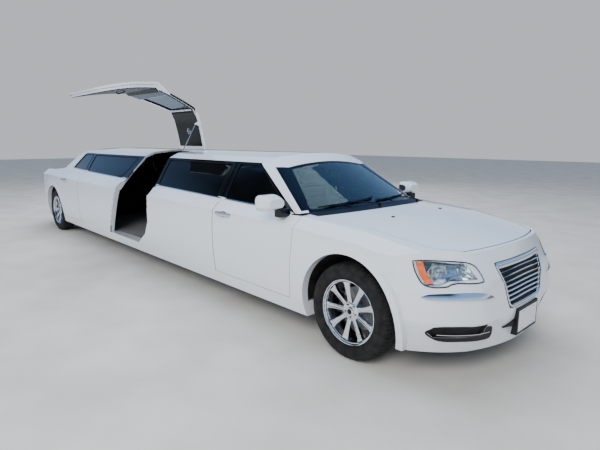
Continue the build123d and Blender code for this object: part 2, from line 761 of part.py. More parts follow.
with BuildPart() as bonnet:
    add(skin_shell)
    add(bonnet_block(-BONNET_GAP), mode=Mode.INTERSECT)
    add(mirrored((ARM_X, ARM_Y, ARM_Z), (ARM_X + ARM_L, ARM_Y + ARM_W, ARM_Z + ARM_H)))
finish(bonnet, "bonnet")

lamp_hole = lamp_block()
bonnet_hole = bonnet_block(BONNET_GAP)
cowl_y, cowl_top = COWL_HALF_W + SEAT, BONNET_LOW_Z + 400
cowl_hole = box_at((COWL_REAR_X, -cowl_y, BONNET_LOW_Z), (COWL_FRONT_X, cowl_y, cowl_top))

with BuildPart() as front_fenders:
    add(wall_shell)
    add(side_block(FENDER, SEAT / 2), mode=Mode.INTERSECT)
    add(bonnet_hole, mode=Mode.SUBTRACT)
    add(cowl_hole, mode=Mode.SUBTRACT)
    add(lamp_hole, mode=Mode.SUBTRACT)
    for side in (RIGHT, LEFT):
        add(door_openings["front_door", side], mode=Mode.SUBTRACT)
        add(hinge_leaves("front_door", side, False))
finish(front_fenders, "front_fenders")

# Cowl between bonnet and windscreen
with BuildPart() as cowl:
    add(skin_shell)
    add(box_at((COWL_REAR_X, -COWL_HALF_W, BONNET_LOW_Z), (COWL_FRONT_X, COWL_HALF_W, cowl_top)),
        mode=Mode.INTERSECT)
    add(bonnet_hole, mode=Mode.SUBTRACT)
    add(cabin_mass(-SEAT), mode=Mode.SUBTRACT)
finish(cowl, "cowl")

with BuildPart() as front_bumper:
    add(wall_shell)
    add(side_block(FASCIA, SEAT / 2), mode=Mode.INTERSECT)
    add(bonnet_hole, mode=Mode.SUBTRACT)
    add(lamp_hole, mode=Mode.SUBTRACT)
    add(grille_block(0), mode=Mode.SUBTRACT)
    add(face_block([SIDE_GRILLE], 3900, 4600), mode=Mode.SUBTRACT)
finish(front_bumper, "front_bumper")

with BuildPart() as headlamps:
    add(wall_shell)
    add(lamp_block(SEAT), mode=Mode.INTERSECT)
finish(headlamps, "headlamps")

GRILLE_FRAME = 26
GRILLE_BARS = 8
GRILLE_BAR_H = 15
GRILLE_PROUD = 6
BAR_DEPTH = 22
BACKING_DEPTH = 38

nose = {
    inset: end_loft(inset)
    for inset in (-GRILLE_PROUD, -SEAT, 2, BAR_DEPTH, BAR_DEPTH + SEAT, BACKING_DEPTH)
}
bar_pitch = (GRILLE_HIGH[1] - GRILLE_LOW[1] - 2 * GRILLE_FRAME) / (GRILLE_BARS + 1)

with BuildPart() as bars:
    for i in range(GRILLE_BARS):
        with Locations((4400, 0, GRILLE_LOW[1] + GRILLE_FRAME + bar_pitch * (i + 1))):
            Box(600, 1000, GRILLE_BAR_H)
    add(grille_block(GRILLE_FRAME - 2), mode=Mode.INTERSECT)

with BuildPart() as grille:
    add(between(nose[-GRILLE_PROUD], nose[BAR_DEPTH], grille_block(SEAT)))
    add(grille_block(GRILLE_FRAME), mode=Mode.SUBTRACT)
    add(between(nose[2], nose[BAR_DEPTH], bars.part))
    add(between(nose[-GRILLE_PROUD], nose[-SEAT], face_block([STRIP_FACE], 3900, 4600)))
finish(grille, "grille")

with BuildPart() as grille_backing:
    for block in (grille_block(SEAT), face_block([SIDE_GRILLE], 3900, 4600, SEAT)):
        add(between(nose[BAR_DEPTH + SEAT], nose[BACKING_DEPTH], block))
finish(grille_backing, "grille_backing")

# Tail: rear body with the quarters, boot lid, lamps and bumper


def boot_block(grow):
    with BuildPart() as block:
        add(side_block(BOOT_SIDE, -grow))
        with BuildSketch(Plane.XZ.offset(-BOOT_HALF_W - grow)):
            with Locations((-4000, 900)):
                Rectangle(2400, 1400)
        extrude(amount=2 * (BOOT_HALF_W + grow), mode=Mode.INTERSECT)
    return block.part


TAIL_LAMP_X = -4150
BOOT_BACK_X = -4330
EXHAUST_Y, EXHAUST_Z, EXHAUST_R = 560, 285, 36
TOW_X, TOW_Y, TOW_Z = -4386, -400, 345
TOW_HOLE_R, TOW_BOSS_R, TOW_DEPTH = 8.5, 17, 40
tail_lamp_hole = face_block([TAIL_LAMP_FACE], -4600, TAIL_LAMP_X)

# Boot hinge arms at its front corners, and the brackets they leave
LID_ARM_X, LID_ARM_Y, LID_ARM_Z = -3495, 640, 1000
LID_ARM_L, LID_ARM_W, LID_ARM_H = 35, 25, 72

with BuildPart() as rear_body:
    add(wall_shell)
    add(side_block(REAR_BODY, SEAT / 2), mode=Mode.INTERSECT)
    for side in (RIGHT, LEFT):
        add(door_openings["rear_door", side], mode=Mode.SUBTRACT)
    add(boot_block(GAP / 2), mode=Mode.SUBTRACT)
    add(mirrored(
        (LID_ARM_X + HINGE_FIT, LID_ARM_Y, LID_ARM_Z), (LID_ARM_X + 55, LID_ARM_Y + LID_ARM_W, LID_ARM_Z + 45)
    ))
    add(tail_lamp_hole, mode=Mode.SUBTRACT)
    add(screen_block(*REAR_WINDOW), mode=Mode.SUBTRACT)
finish(rear_body, "rear_body")

with BuildPart() as boot_lid:
    add(skin_shell)
    add(boot_block(-GAP / 2), mode=Mode.INTERSECT)
    add(mirrored(
        (LID_ARM_X - LID_ARM_L, LID_ARM_Y, LID_ARM_Z),
        (LID_ARM_X, LID_ARM_Y + LID_ARM_W, LID_ARM_Z + LID_ARM_H),
    ))
finish(boot_lid, "boot_lid")

with BuildPart() as tail_lamps:
    add(wall_shell)
    add(face_block([TAIL_LAMP_FACE], -4600, TAIL_LAMP_X, SEAT), mode=Mode.INTERSECT)
finish(tail_lamps, "tail_lamps")

with BuildPart() as rear_bumper:
    add(wall_shell)
    add(side_block(REAR_FASCIA, SEAT / 2), mode=Mode.INTERSECT)
    add(box_at((BOOT_BACK_X, -790, 100), (REAR_AXLE_X, 790, TAIL_SEAM_Z - WALL)), mode=Mode.SUBTRACT)
    with BuildSketch(Plane.YZ.offset(-4600)):
        for side in (1, -1):
            with Locations((side * EXHAUST_Y, EXHAUST_Z)):
                Circle(EXHAUST_R + 14)
    extrude(amount=500, mode=Mode.SUBTRACT)
    with BuildSketch(Plane.YZ.offset(TOW_X)):
        with Locations((TOW_Y, TOW_Z)):
            Circle(TOW_BOSS_R)
    extrude(amount=TOW_DEPTH + 4)
    with BuildSketch(Plane.YZ.offset(TOW_X)):
        with Locations((TOW_Y, TOW_Z)):
            Circle(TOW_HOLE_R)
    extrude(amount=TOW_DEPTH, mode=Mode.SUBTRACT)
finish(rear_bumper, "rear_bumper")

# Platform: sills, floor, wheel houses and front structure

FLOOR_Z, FLOOR_T = 300, 30
SILL_INNER_Y = WAIST - SILL_DEPTH - 50
FLOOR_HALF_W = SILL_INNER_Y - SEAT
FLOOR_FRONT_X, FLOOR_REAR_X = 2925, -2780
SILL_FRONT_X, SILL_REAR_X = 3400, -3250
KICK_X, KICK_Z = -2900, 500
BOOT_WELL_X, BOOT_FLOOR_Z = -3860, 390
HOUSE_IN_Y = 640
FRONT_HOUSE_IN_Y = 480
JACK_X = (2600, -2500)
JACK_Y, JACK_DROP = 850, 12

with BuildPart() as sills:
    add(outside)
    with BuildSketch(Plane.YZ.offset(SILL_REAR_X)):
        for side in (1, -1):
            with Locations((side * SILL_INNER_Y, BODY_BOTTOM - 20)):
                Rectangle(
                    SILL_DEPTH + 150,
                    SILL_TOP - SEAT / 2 - BODY_BOTTOM + 20,
                    align=(Align.MIN if side > 0 else Align.MAX, Align.MIN),
                )
    extrude(amount=SILL_FRONT_X - SILL_REAR_X, mode=Mode.INTERSECT)
    for x in JACK_X:
        for side in (1, -1):
            with Locations((x, side * JACK_Y, BODY_BOTTOM)):
                Box(90, 50, JACK_DROP, align=(Align.CENTER, Align.CENTER, Align.MAX))
finish(sills, "sills")


def wheel_house(axle_x, inner_y, notch):
    """Half-round liner over a wheel with its inner wall, notched over the axle, both sides."""
    with BuildPart() as house:
        for side in (1, -1):
            with BuildSketch(Plane.XZ.offset(-side * inner_y)):
                with Locations((axle_x, TYRE_R)):
                    Circle(LINER_R + LINER_T)
                    Circle(LINER_R, mode=Mode.SUBTRACT)
            extrude(amount=-side * (WAIST - inner_y))
            with BuildSketch(Plane.XZ.offset(-side * inner_y)):
                with Locations((axle_x, TYRE_R)):
                    Circle(LINER_R + LINER_T)
            extrude(amount=side * LINER_T)
        split(bisect_by=Plane.XY.offset(SILL_TOP + 10), keep=Keep.TOP)
        room = box_at((axle_x - notch, -WAIST, 300), (axle_x + notch, WAIST, TYRE_R + notch))
        add(room, mode=Mode.SUBTRACT)
        add(inner_mass, mode=Mode.INTERSECT)
    return house.part


AXLE_NOTCH = 70
with BuildPart() as floor_pan:
    with BuildSketch(Plane.XZ):
        Polygon(
            (FLOOR_FRONT_X, FLOOR_Z),
            (FLOOR_REAR_X - FLOOR_T, FLOOR_Z),
            (KICK_X - FLOOR_T, KICK_Z),
            (BOOT_WELL_X + FLOOR_T, KICK_Z),
            (BOOT_WELL_X - 60 + FLOOR_T, BOOT_FLOOR_Z),
            (BOOT_BACK_X, BOOT_FLOOR_Z),
            (BOOT_BACK_X, BOOT_FLOOR_Z + FLOOR_T),
            (BOOT_WELL_X - 60, BOOT_FLOOR_Z + FLOOR_T),
            (BOOT_WELL_X, KICK_Z + FLOOR_T),
            (KICK_X, KICK_Z + FLOOR_T),
            (FLOOR_REAR_X, FLOOR_Z + FLOOR_T),
            (FLOOR_FRONT_X, FLOOR_Z + FLOOR_T),
            align=None,
        )
    extrude(amount=HOUSE_IN_Y - LINER_T - SEAT, both=True)
    floor_low = (FLOOR_REAR_X, -FLOOR_HALF_W, FLOOR_Z)
    add(box_at(floor_low, (FLOOR_FRONT_X, FLOOR_HALF_W, FLOOR_Z + FLOOR_T)))
    add(wheel_house(REAR_AXLE_X, HOUSE_IN_Y, AXLE_NOTCH))
finish(floor_pan, "floor_pan")

RAIL_Y, RAIL_W, RAIL_Z, RAIL_H = 400, 80, 380, 100
RADIATOR_X, RADIATOR_T = 4130, 40
FIREWALL_T, FIREWALL_TOP = 25, 960
with BuildPart() as front_structure:
    firewall = (FLOOR_FRONT_X, -COWL_HALF_W + 20, FLOOR_Z)
    add(box_at(firewall, (FLOOR_FRONT_X + FIREWALL_T, COWL_HALF_W - 20, FIREWALL_TOP)))
    add(mirrored((FLOOR_FRONT_X, RAIL_Y, RAIL_Z), (RADIATOR_X, RAIL_Y + RAIL_W, RAIL_Z + RAIL_H)))
    add(box_at((RADIATOR_X, -RAIL_Y - RAIL_W, 300), (RADIATOR_X + RADIATOR_T, RAIL_Y + RAIL_W, 760)))
    add(wheel_house(FRONT_AXLE_X, FRONT_HOUSE_IN_Y, 0.5))
    bracket_y = (ARM_Y - 5, ARM_Y + ARM_W + 5)
    add(mirrored((FLOOR_FRONT_X + 5, bracket_y[0], ARM_Z), (ARM_X - HINGE_FIT, bracket_y[1], ARM_Z + 30)))
finish(front_structure, "front_structure")

# Powertrain: engine as one block, gearbox and propeller shaft under the floor

ENGINE_X, ENGINE_L, ENGINE_W, ENGINE_Z, ENGINE_H = 3040, 760, 560, 330, 500
GEARBOX_X, GEARBOX_W, GEARBOX_Z = 2250, 240, 190
PROP_Z, PROP_R = 250, 32
DIFF_X, DIFF_R = REAR_AXLE_X, 110
with BuildPart() as powertrain:
    with Locations((ENGINE_X, 0, ENGINE_Z)):
        Box(ENGINE_L, ENGINE_W, ENGINE_H, align=(Align.MIN, Align.CENTER, Align.MIN))
    chamfer(powertrain.edges().filter_by(Axis.X), 60)
    add(box_at((3360, -RAIL_Y + SEAT, RAIL_Z + 10), (3480, RAIL_Y - SEAT, RAIL_Z + 70)))
    with BuildSketch(Plane.XZ):
        Polygon(
            (ENGINE_X + 150, GEARBOX_Z + 30),
            (ENGINE_X + 150, ENGINE_Z + 60),
            (FLOOR_FRONT_X + FIREWALL_T + SEAT, ENGINE_Z + 60),
            (FLOOR_FRONT_X + FIREWALL_T + SEAT, FLOOR_Z - SEAT),
            (GEARBOX_X, FLOOR_Z - SEAT),
            (GEARBOX_X, GEARBOX_Z + 10),
            (GEARBOX_X + 150, GEARBOX_Z),
            (ENGINE_X, GEARBOX_Z),
            align=None,
        )
    extrude(amount=GEARBOX_W / 2, both=True)
    with BuildSketch(Plane.YZ.offset(GEARBOX_X + 5)):
        with Locations((0, PROP_Z)):
            Circle(PROP_R)
    extrude(amount=DIFF_X + DIFF_R + 30 - GEARBOX_X - 5)
finish(powertrain, "powertrain")

# Wheels: rims face outward, hubs turn on the spindles of knuckles and axle

SPINDLE_R, SPINDLE_FIT = 28, 0.05
RIM_HALF_W = 98
SPOKE_SET, SPOKE_T = 40, 30
HUB_BACK = 60
DISC_SET, DISC_T = 36, 22
Wheel = namedtuple("Wheel", "name x side")
WHEELS = [
    Wheel("front_right", FRONT_AXLE_X, -1),
    Wheel("front_left", FRONT_AXLE_X, 1),
    Wheel("rear_right", REAR_AXLE_X, -1),
    Wheel("rear_left", REAR_AXLE_X, 1),
]



def plane_at(wheel, outward):
    """Plane across the wheel's axis, so far outward of its centre, facing outward."""
    y = wheel.side * (HALF_TRACK + outward)
    return Plane(origin=(wheel.x, y, TYRE_R), x_dir=(1, 0, 0), z_dir=(0, wheel.side, 0))


for wheel in WHEELS:
    with BuildPart() as rim:
        with BuildSketch(Plane(origin=(wheel.x, wheel.side * HALF_TRACK, TYRE_R))):
            Polygon(
                (RIM_R, -RIM_HALF_W),
                (RIM_R, -RIM_HALF_W + 8),
                (RIM_SEAT_R, -RIM_HALF_W + 16),
                (RIM_SEAT_R, RIM_HALF_W - 16),
                (RIM_R, RIM_HALF_W - 8),
                (RIM_R, RIM_HALF_W),
                (RIM_R - 8, RIM_HALF_W),
                (RIM_SEAT_R - 10, RIM_HALF_W - 22),
                (RIM_SEAT_R - 10, -RIM_HALF_W + 22),
                (RIM_R - 8, -RIM_HALF_W),
                align=None,
            )
        revolve(axis=Axis((wheel.x, 0, TYRE_R), (0, 1, 0)))
        with BuildSketch(plane_at(wheel, RIM_HALF_W - SPOKE_SET - SPOKE_T / 2)):
            with PolarLocations(0, SPOKES):
                Polygon((30, 26), (30, -26), (RIM_SEAT_R - 4, -16), (RIM_SEAT_R - 4, 16), align=None)
            Circle(HUB_R)
        extrude(amount=SPOKE_T)
        with BuildSketch(plane_at(wheel, -HUB_BACK)):
            Circle(HUB_R)
        extrude(amount=HUB_BACK + RIM_HALF_W - SPOKE_SET)
        with BuildSketch(plane_at(wheel, -DISC_SET - DISC_T)):
            Circle(DISC_R)
        extrude(amount=DISC_T)
        with BuildSketch(plane_at(wheel, -HUB_BACK)):
            Circle(SPINDLE_R + SPINDLE_FIT)
        extrude(amount=HUB_BACK, mode=Mode.SUBTRACT)
    finish(rim, f"rim_{wheel.name}")

    with BuildPart() as tyre:
        with BuildSketch(Plane(origin=(wheel.x, wheel.side * HALF_TRACK, TYRE_R))):
            half = TYRE_W / 2
            Polygon(
                (RIM_SEAT_R + SEAT, -RIM_HALF_W + 17),
                (RIM_R + SEAT, -RIM_HALF_W + 8.5),
                (RIM_R + 45, -half),
                (TYRE_R - 35, -half + 2),
                (TYRE_R - 8, -half + 22),
                (TYRE_R, -half + 45),
                (TYRE_R, half - 45),
                (TYRE_R - 8, half - 22),
                (TYRE_R - 35, half - 2),
                (RIM_R + 45, half),
                (RIM_R + SEAT, RIM_HALF_W - 8.5),
                (RIM_SEAT_R + SEAT, RIM_HALF_W - 17),
                align=None,
            )
        revolve(axis=Axis((wheel.x, 0, TYRE_R), (0, 1, 0)))
    finish(tyre, f"tyre_{wheel.name}")

# Front suspension, steering and the knuckles that carry the front wheels

KING_Y = 722
KING_LOW_Z, KING_HIGH_Z = 250, 495
POST_W = 36
ARM_T = 24
COIL_Y, COIL_R = 575, 45
SUBFRAME_HALF_W = 330
STEER_ARM_L = 130
RACK_Z, RACK_R, TIE_R = 280, 24, 9
RACK_HALF_W = 420
TIE_END_Y = KING_Y - 7
CALIPER_X = (-185, -112)
CALIPER_H = 130
HUB_FACE_Y = HALF_TRACK - HUB_BACK
DISC_Y = (HALF_TRACK - DISC_SET - DISC_T, HALF_TRACK - DISC_SET)


def carrier(axle_x, low_z, high_z):
    """Upright on the left with its spindle and brake caliper; the wheel's hub turns on the spindle."""
    with BuildPart() as upright:
        add(box_at(
            (axle_x - POST_W / 2, KING_Y - POST_W / 2, low_z),
            (axle_x + POST_W / 2, KING_Y + POST_W / 2, high_z),
        ))
        with BuildSketch(Plane.XZ.offset(-KING_Y)):
            with Locations((axle_x, TYRE_R)):
                Circle(SPINDLE_R + 14)
        extrude(amount=-(HUB_FACE_Y - 1 - KING_Y))
        with BuildSketch(Plane.XZ.offset(-KING_Y)):
            with Locations((axle_x, TYRE_R)):
                Circle(SPINDLE_R)
        extrude(amount=-(HALF_TRACK - 1 - KING_Y))
        (disc_in, disc_out), (x_low, x_high) = DISC_Y, CALIPER_X
        add(box_at(
            (axle_x + x_low, disc_in - 16, TYRE_R - CALIPER_H / 2),
            (axle_x + x_high, disc_out + 15, TYRE_R + CALIPER_H / 2),
        ))
        with BuildSketch(Plane.XZ.offset(-disc_in + 5)):
            with Locations((axle_x, TYRE_R)):
                Circle(DISC_R + 5)
                Circle(SPINDLE_R + 14, mode=Mode.SUBTRACT)
        extrude(amount=-(DISC_T + 10), mode=Mode.SUBTRACT)
        add(box_at((axle_x + x_low + 10, KING_Y - 14, TYRE_R - 26), (axle_x, disc_in - 8, TYRE_R + 26)))
    return upright.part


with BuildPart() as knuckle_left:
    add(carrier(FRONT_AXLE_X, KING_LOW_Z, KING_HIGH_Z))
    add(box_at(
        (FRONT_AXLE_X - STEER_ARM_L - 14, KING_Y - 22, RACK_Z + 18), (FRONT_AXLE_X, KING_Y + 8, RACK_Z + 38)
    ))
finish(knuckle_left, "knuckle_left")

with BuildPart() as knuckle_right:
    add(mirror(knuckle_left.part, about=Plane.XZ))
finish(knuckle_right, "knuckle_right")

with BuildPart() as tie_rods:
    with BuildSketch(Plane.XZ):
        with Locations((FRONT_AXLE_X - STEER_ARM_L, RACK_Z)):
            Circle(TIE_R)
    extrude(amount=TIE_END_Y, both=True)
    with BuildSketch(Plane.XY.offset(RACK_Z - 12)):
        for side in (1, -1):
            with Locations((FRONT_AXLE_X - STEER_ARM_L, side * TIE_END_Y)):
                Circle(14)
    extrude(amount=12 + 18 - SEAT)
finish(tie_rods, "tie_rods")


def wishbone(axle_x, z, inner_y, outer_y, inner_w, outer_w):
    """Flat arm from the car's middle to an upright, tapered in plan, both sides."""
    with BuildPart() as arm:
        with BuildSketch(Plane.XY.offset(z)):
            for side in (1, -1):
                Polygon(
                    (axle_x - inner_w / 2, side * inner_y), (axle_x + inner_w / 2, side * inner_y),
                    (axle_x + outer_w / 2, side * outer_y), (axle_x - outer_w / 2, side * outer_y),
                    align=None,
                )
        extrude(amount=ARM_T)
    return arm.part


def coil(axle_x, low_z, high_z):
    with BuildPart() as damper:
        with BuildSketch(Plane.XY.offset(low_z)):
            with Locations((axle_x, COIL_Y), (axle_x, -COIL_Y)):
                Circle(COIL_R)
        extrude(amount=high_z - low_z)
    return damper.part


low_arm_z = KING_LOW_Z - SEAT - ARM_T
liner_top = TYRE_R + (LINER_R**2 - COIL_R**2) ** 0.5
with BuildPart() as suspension:
    add(box_at((FRONT_AXLE_X - 95, -SUBFRAME_HALF_W, low_arm_z), (FRONT_AXLE_X + 95, SUBFRAME_HALF_W, 290)))
    add(wishbone(FRONT_AXLE_X, low_arm_z, SUBFRAME_HALF_W - 5, KING_Y + 6, 190, POST_W))
    add(wishbone(FRONT_AXLE_X, KING_HIGH_Z + SEAT, FRONT_HOUSE_IN_Y + SEAT, KING_Y + 6, 150, POST_W))
    add(coil(FRONT_AXLE_X, low_arm_z + 5, liner_top - SEAT))
    with BuildSketch(Plane.XZ.offset(-RACK_HALF_W)):
        with Locations((FRONT_AXLE_X - STEER_ARM_L, RACK_Z)):
            Circle(RACK_R)
    extrude(amount=2 * RACK_HALF_W)
    with BuildSketch(Plane.XZ.offset(-RACK_HALF_W)):
        with Locations((FRONT_AXLE_X - STEER_ARM_L, RACK_Z)):
            Circle(TIE_R + SEAT)
    extrude(amount=2 * RACK_HALF_W, mode=Mode.SUBTRACT)
    rack_foot_x = FRONT_AXLE_X - STEER_ARM_L + RACK_R - 4
    add(mirrored((rack_foot_x, 240, 250), (FRONT_AXLE_X - 90, 290, 285)))
    add(carrier(REAR_AXLE_X, KING_LOW_Z, KING_HIGH_Z))
    add(mirror(carrier(REAR_AXLE_X, KING_LOW_Z, KING_HIGH_Z), about=Plane.XZ))
    add(wishbone(REAR_AXLE_X, KING_LOW_Z, SUBFRAME_HALF_W - 5, KING_Y + 5, 220, 70))
    add(coil(REAR_AXLE_X, KING_LOW_Z + 5, KICK_Z - SEAT))
    add(box_at((REAR_AXLE_X - 110, -SUBFRAME_HALF_W, KING_LOW_Z), (REAR_AXLE_X + 110, SUBFRAME_HALF_W, 300)))
    with BuildSketch(Plane.XZ.offset(-110)):
        with Locations((DIFF_X, TYRE_R)):
            Circle(DIFF_R)
    extrude(amount=220)
    with BuildSketch(Plane.XZ.offset(-KING_Y)):
        with Locations((REAR_AXLE_X, TYRE_R)):
            Circle(18)
    extrude(amount=2 * KING_Y)
    with BuildSketch(Plane.YZ.offset(DIFF_X - 10)):
        with Locations((0, PROP_Z)):
            Circle(PROP_R + 20)
    extrude(amount=DIFF_R + 30 + 10 - SEAT)
finish(suspension, "suspension")

# Exhaust and fuel tank under the floor

PIPE_R, PIPE_Y, PIPE_Z = 28, 300, 215
TAIL_PIPE_X = -4395
MUFFLER_X = (-4140, -3760)
with BuildPart() as exhaust:
    for side in (1, -1):
        with BuildSketch(Plane.YZ.offset(MUFFLER_X[1] - 5)):
            with Locations((side * PIPE_Y, PIPE_Z)):
                Circle(PIPE_R)
        extrude(amount=2700 - MUFFLER_X[1])
        with BuildSketch(Plane.YZ.offset(MUFFLER_X[0])):
            with Locations((side * (PIPE_Y + 110), PIPE_Z + 65)):
                RectangleRounded(390, 190, 60)
        extrude(amount=MUFFLER_X[1] - MUFFLER_X[0])
        with BuildSketch(Plane.YZ.offset(TAIL_PIPE_X)):
            with Locations((side * EXHAUST_Y, EXHAUST_Z)):
                Circle(EXHAUST_R)
        extrude(amount=MUFFLER_X[0] + 5 - TAIL_PIPE_X)
    for x in (2500, 1200, -200, -1600):
        add(mirrored((x, PIPE_Y - 15, PIPE_Z), (x + 30, PIPE_Y + 15, FLOOR_Z - SEAT)))
    add(mirrored(
        (MUFFLER_X[0] + 60, PIPE_Y + 20, PIPE_Z + 100), (MUFFLER_X[0] + 90, PIPE_Y + 60, BOOT_FLOOR_Z - SEAT)
    ))
    add(box_at((MUFFLER_X[0], -170, 240), (MUFFLER_X[1] - 100, 170, BOOT_FLOOR_Z - SEAT)))
finish(exhaust, "exhaust_and_tank")

# Cabin: dashboard, steering wheel, seats, partition and bar cabinet

CARPET_Z = FLOOR_Z + FLOOR_T + SEAT
DASH_HALF_W = 735
WHEEL_X, WHEEL_Y, WHEEL_Z = 2330, 370, 850
COLUMN_TILT = 25
COLUMN_R, COLUMN_BORE_R = 18, 18.5
with BuildPart() as dashboard:
    with BuildSketch(Plane.XZ):
        Polygon(
            (FLOOR_FRONT_X - SEAT, 600),
            (FLOOR_FRONT_X - SEAT, 925),
            (2860, 955),
            (2580, 950),
            (2500, 900),
            (2510, 800),
            (2620, 760),
            (2640, 620),
            align=None,
        )
    extrude(amount=DASH_HALF_W, both=True)
    with BuildSketch(Plane.XZ):
        Polygon((2510, 760), (2640, 700), (2700, CARPET_Z), (2480, CARPET_Z), (2450, 620), align=None)
    extrude(amount=110, both=True)
    column = Plane(
        origin=(WHEEL_X, WHEEL_Y, WHEEL_Z), x_dir=(0, 1, 0),
        z_dir=(cos(radians(COLUMN_TILT)), 0, -sin(radians(COLUMN_TILT))),
    )
    with BuildSketch(column.offset(110)):
        Circle(COLUMN_R + 22)
    extrude(amount=180)
    with BuildSketch(column.offset(100)):
        Circle(COLUMN_BORE_R)
    extrude(amount=160, mode=Mode.SUBTRACT)
finish(dashboard, "dashboard")

RIM_WHEEL_R, RIM_WHEEL_T = 185, 15
with BuildPart() as steering_wheel:
    with BuildSketch(column):
        Circle(RIM_WHEEL_R + RIM_WHEEL_T)
        Circle(RIM_WHEEL_R - RIM_WHEEL_T, mode=Mode.SUBTRACT)
        Rectangle(2 * RIM_WHEEL_R, 40)
        with Locations((0, -RIM_WHEEL_R / 2)):
            Rectangle(44, RIM_WHEEL_R)
        Circle(72)
    extrude(amount=24)
    with BuildSketch(column.offset(10)):
        Circle(COLUMN_R)
    extrude(amount=240)
finish(steering_wheel, "steering_wheel")


def bench(profile, y_from, y_to):
    """Seat from its side profile (x, z), between two stations across the car."""
    with BuildPart() as seat:
        with BuildSketch(Plane.XZ.offset(-y_from)):
            Polygon(*profile, align=None)
        extrude(amount=y_from - y_to)
    return seat.part


FRONT_SEAT = [
    (2400, CARPET_Z), (2420, 500), (2400, 560), (1960, 520), (1830, 1090), (1780, 1130), (1700, 1100),
    (1800, 480), (1820, CARPET_Z),
]
REAR_BENCH = [
    (-2180, CARPET_Z), (-2160, 520), (-2200, 560), (-2640, 530), (-2790, 1060), (-2850, 1080),
    (-2880, 1040), (-2800, 520), (-2760, CARPET_Z),
]
SIDE_BENCH = [
    (350, CARPET_Z), (335, 520), (365, 555), (690, 530), (745, 900), (790, 910), (810, 540), (760, CARPET_Z)
]
SIDE_BENCH_X = (-2050, 1350)
with BuildPart() as seats:
    for side in (1, -1):
        y_low, y_high = sorted((side * 120, side * 660))
        add(bench(FRONT_SEAT, y_low, y_high))
    add(bench(REAR_BENCH, -690, 690))
    with BuildSketch(Plane.YZ.offset(SIDE_BENCH_X[0])):
        Polygon(*SIDE_BENCH, align=None)
    extrude(amount=SIDE_BENCH_X[1] - SIDE_BENCH_X[0])
finish(seats, "seats")

PARTITION_X, PARTITION_T = 1460, 40
PARTITION = [
    (-765, CARPET_Z), (-820, 620), (-820, 940), (-575, 1345), (575, 1345), (820, 940), (820, 620),
    (765, CARPET_Z),
]
BAR_X, BAR_Y, BAR_TOP = (560, 1350), (-800, -450), 790
with BuildPart() as cabin_furniture:
    with BuildSketch(Plane.YZ.offset(PARTITION_X)):
        Polygon(*PARTITION, align=None)
    extrude(amount=PARTITION_T)
    with BuildSketch(Plane.YZ.offset(PARTITION_X)):
        Polygon((-640, 960), (640, 960), (480, 1290), (-480, 1290), align=None)
    extrude(amount=PARTITION_T, mode=Mode.SUBTRACT)
    add(box_at((BAR_X[0], BAR_Y[0], CARPET_Z), (BAR_X[1], BAR_Y[1], BAR_TOP)))
    add(box_at((BAR_X[0] + 60, BAR_Y[0] + 60, BAR_TOP - 90), (BAR_X[1] - 60, BAR_Y[1] - 50, BAR_TOP + 5)),
        mode=Mode.SUBTRACT)
finish(cabin_furniture, "cabin_furniture")

# Number plates, blank, each bolted to a bracket that follows the bumper

PLATE_X, PLATE_T, BRACKET_RIM = FRONT_X + 12, 2, 20
PLATE_HOLE_R, PLATE_HOLE_DEPTH = 3.5, 14
PLATE_HOLE_Y, PLATE_HOLE_Z = 177.8, 120.65
Plate = namedtuple("Plate", "end z")
PLATES = [Plate(1, 361), Plate(-1, 500)]
with BuildPart() as number_plates:
    for plate in PLATES:
        middle = Plane(origin=(plate.end * PLATE_X, 0, plate.z), x_dir=(0, 1, 0), z_dir=(plate.end, 0, 0))
        with BuildPart() as bracket:
            with BuildSketch(middle):
                Rectangle(PLATE_W + 2 * BRACKET_RIM, PLATE_H + 2 * BRACKET_RIM)
            extrude(amount=-60)
            add(nose[-SEAT], mode=Mode.SUBTRACT)
        add(bracket.part)
        with BuildSketch(middle.offset(SEAT)):
            Rectangle(PLATE_W, PLATE_H)
        extrude(amount=PLATE_T)
        with BuildSketch(middle.offset(SEAT + PLATE_T)):
            with GridLocations(PLATE_HOLE_Y, PLATE_HOLE_Z, 2, 2):
                Circle(PLATE_HOLE_R)
        extrude(amount=-PLATE_HOLE_DEPTH, mode=Mode.SUBTRACT)
finish(number_plates, "number_plates")

# Gas strut of the gull-wing door, drawn as it stands with the door open


def turned(y, z, angle):
    """Point of the shut gull-wing door after it has swung open about its hinge."""
    dy, dz = y - GULL_HINGE_Y, z - GULL_HINGE_Z
    c, s = cos(radians(angle)), sin(radians(angle))
    return GULL_HINGE_Y + dy * c + dz * s, GULL_HINGE_Z - dy * s + dz * c


head_y, head_z = turned(*STRUT_HEAD_SHUT, GULL_OPEN)
strut_open = hypot(head_y - FOOT_Y, head_z - FOOT_Z)
strut_plane = Plane(
    origin=(STRUT_X, FOOT_Y, FOOT_Z), x_dir=(1, 0, 0), z_dir=(0, head_y - FOOT_Y, head_z - FOOT_Z)
)
STRUT_ROD_FROM = 480


def strut_eye(along, hole):
    """Eye across the strut, its flat faces fore and aft."""
    y = FOOT_Y + (head_y - FOOT_Y) * along / strut_open
    z = FOOT_Z + (head_z - FOOT_Z) * along / strut_open
    with BuildPart() as eye:
        with BuildSketch(Plane.YZ.offset(STRUT_X - EYE_T / 2)):
            with Locations((y, z)):
                Circle(STRUT_EYE_R)
                Circle(hole, mode=Mode.SUBTRACT)
        extrude(amount=EYE_T)
    return eye.part


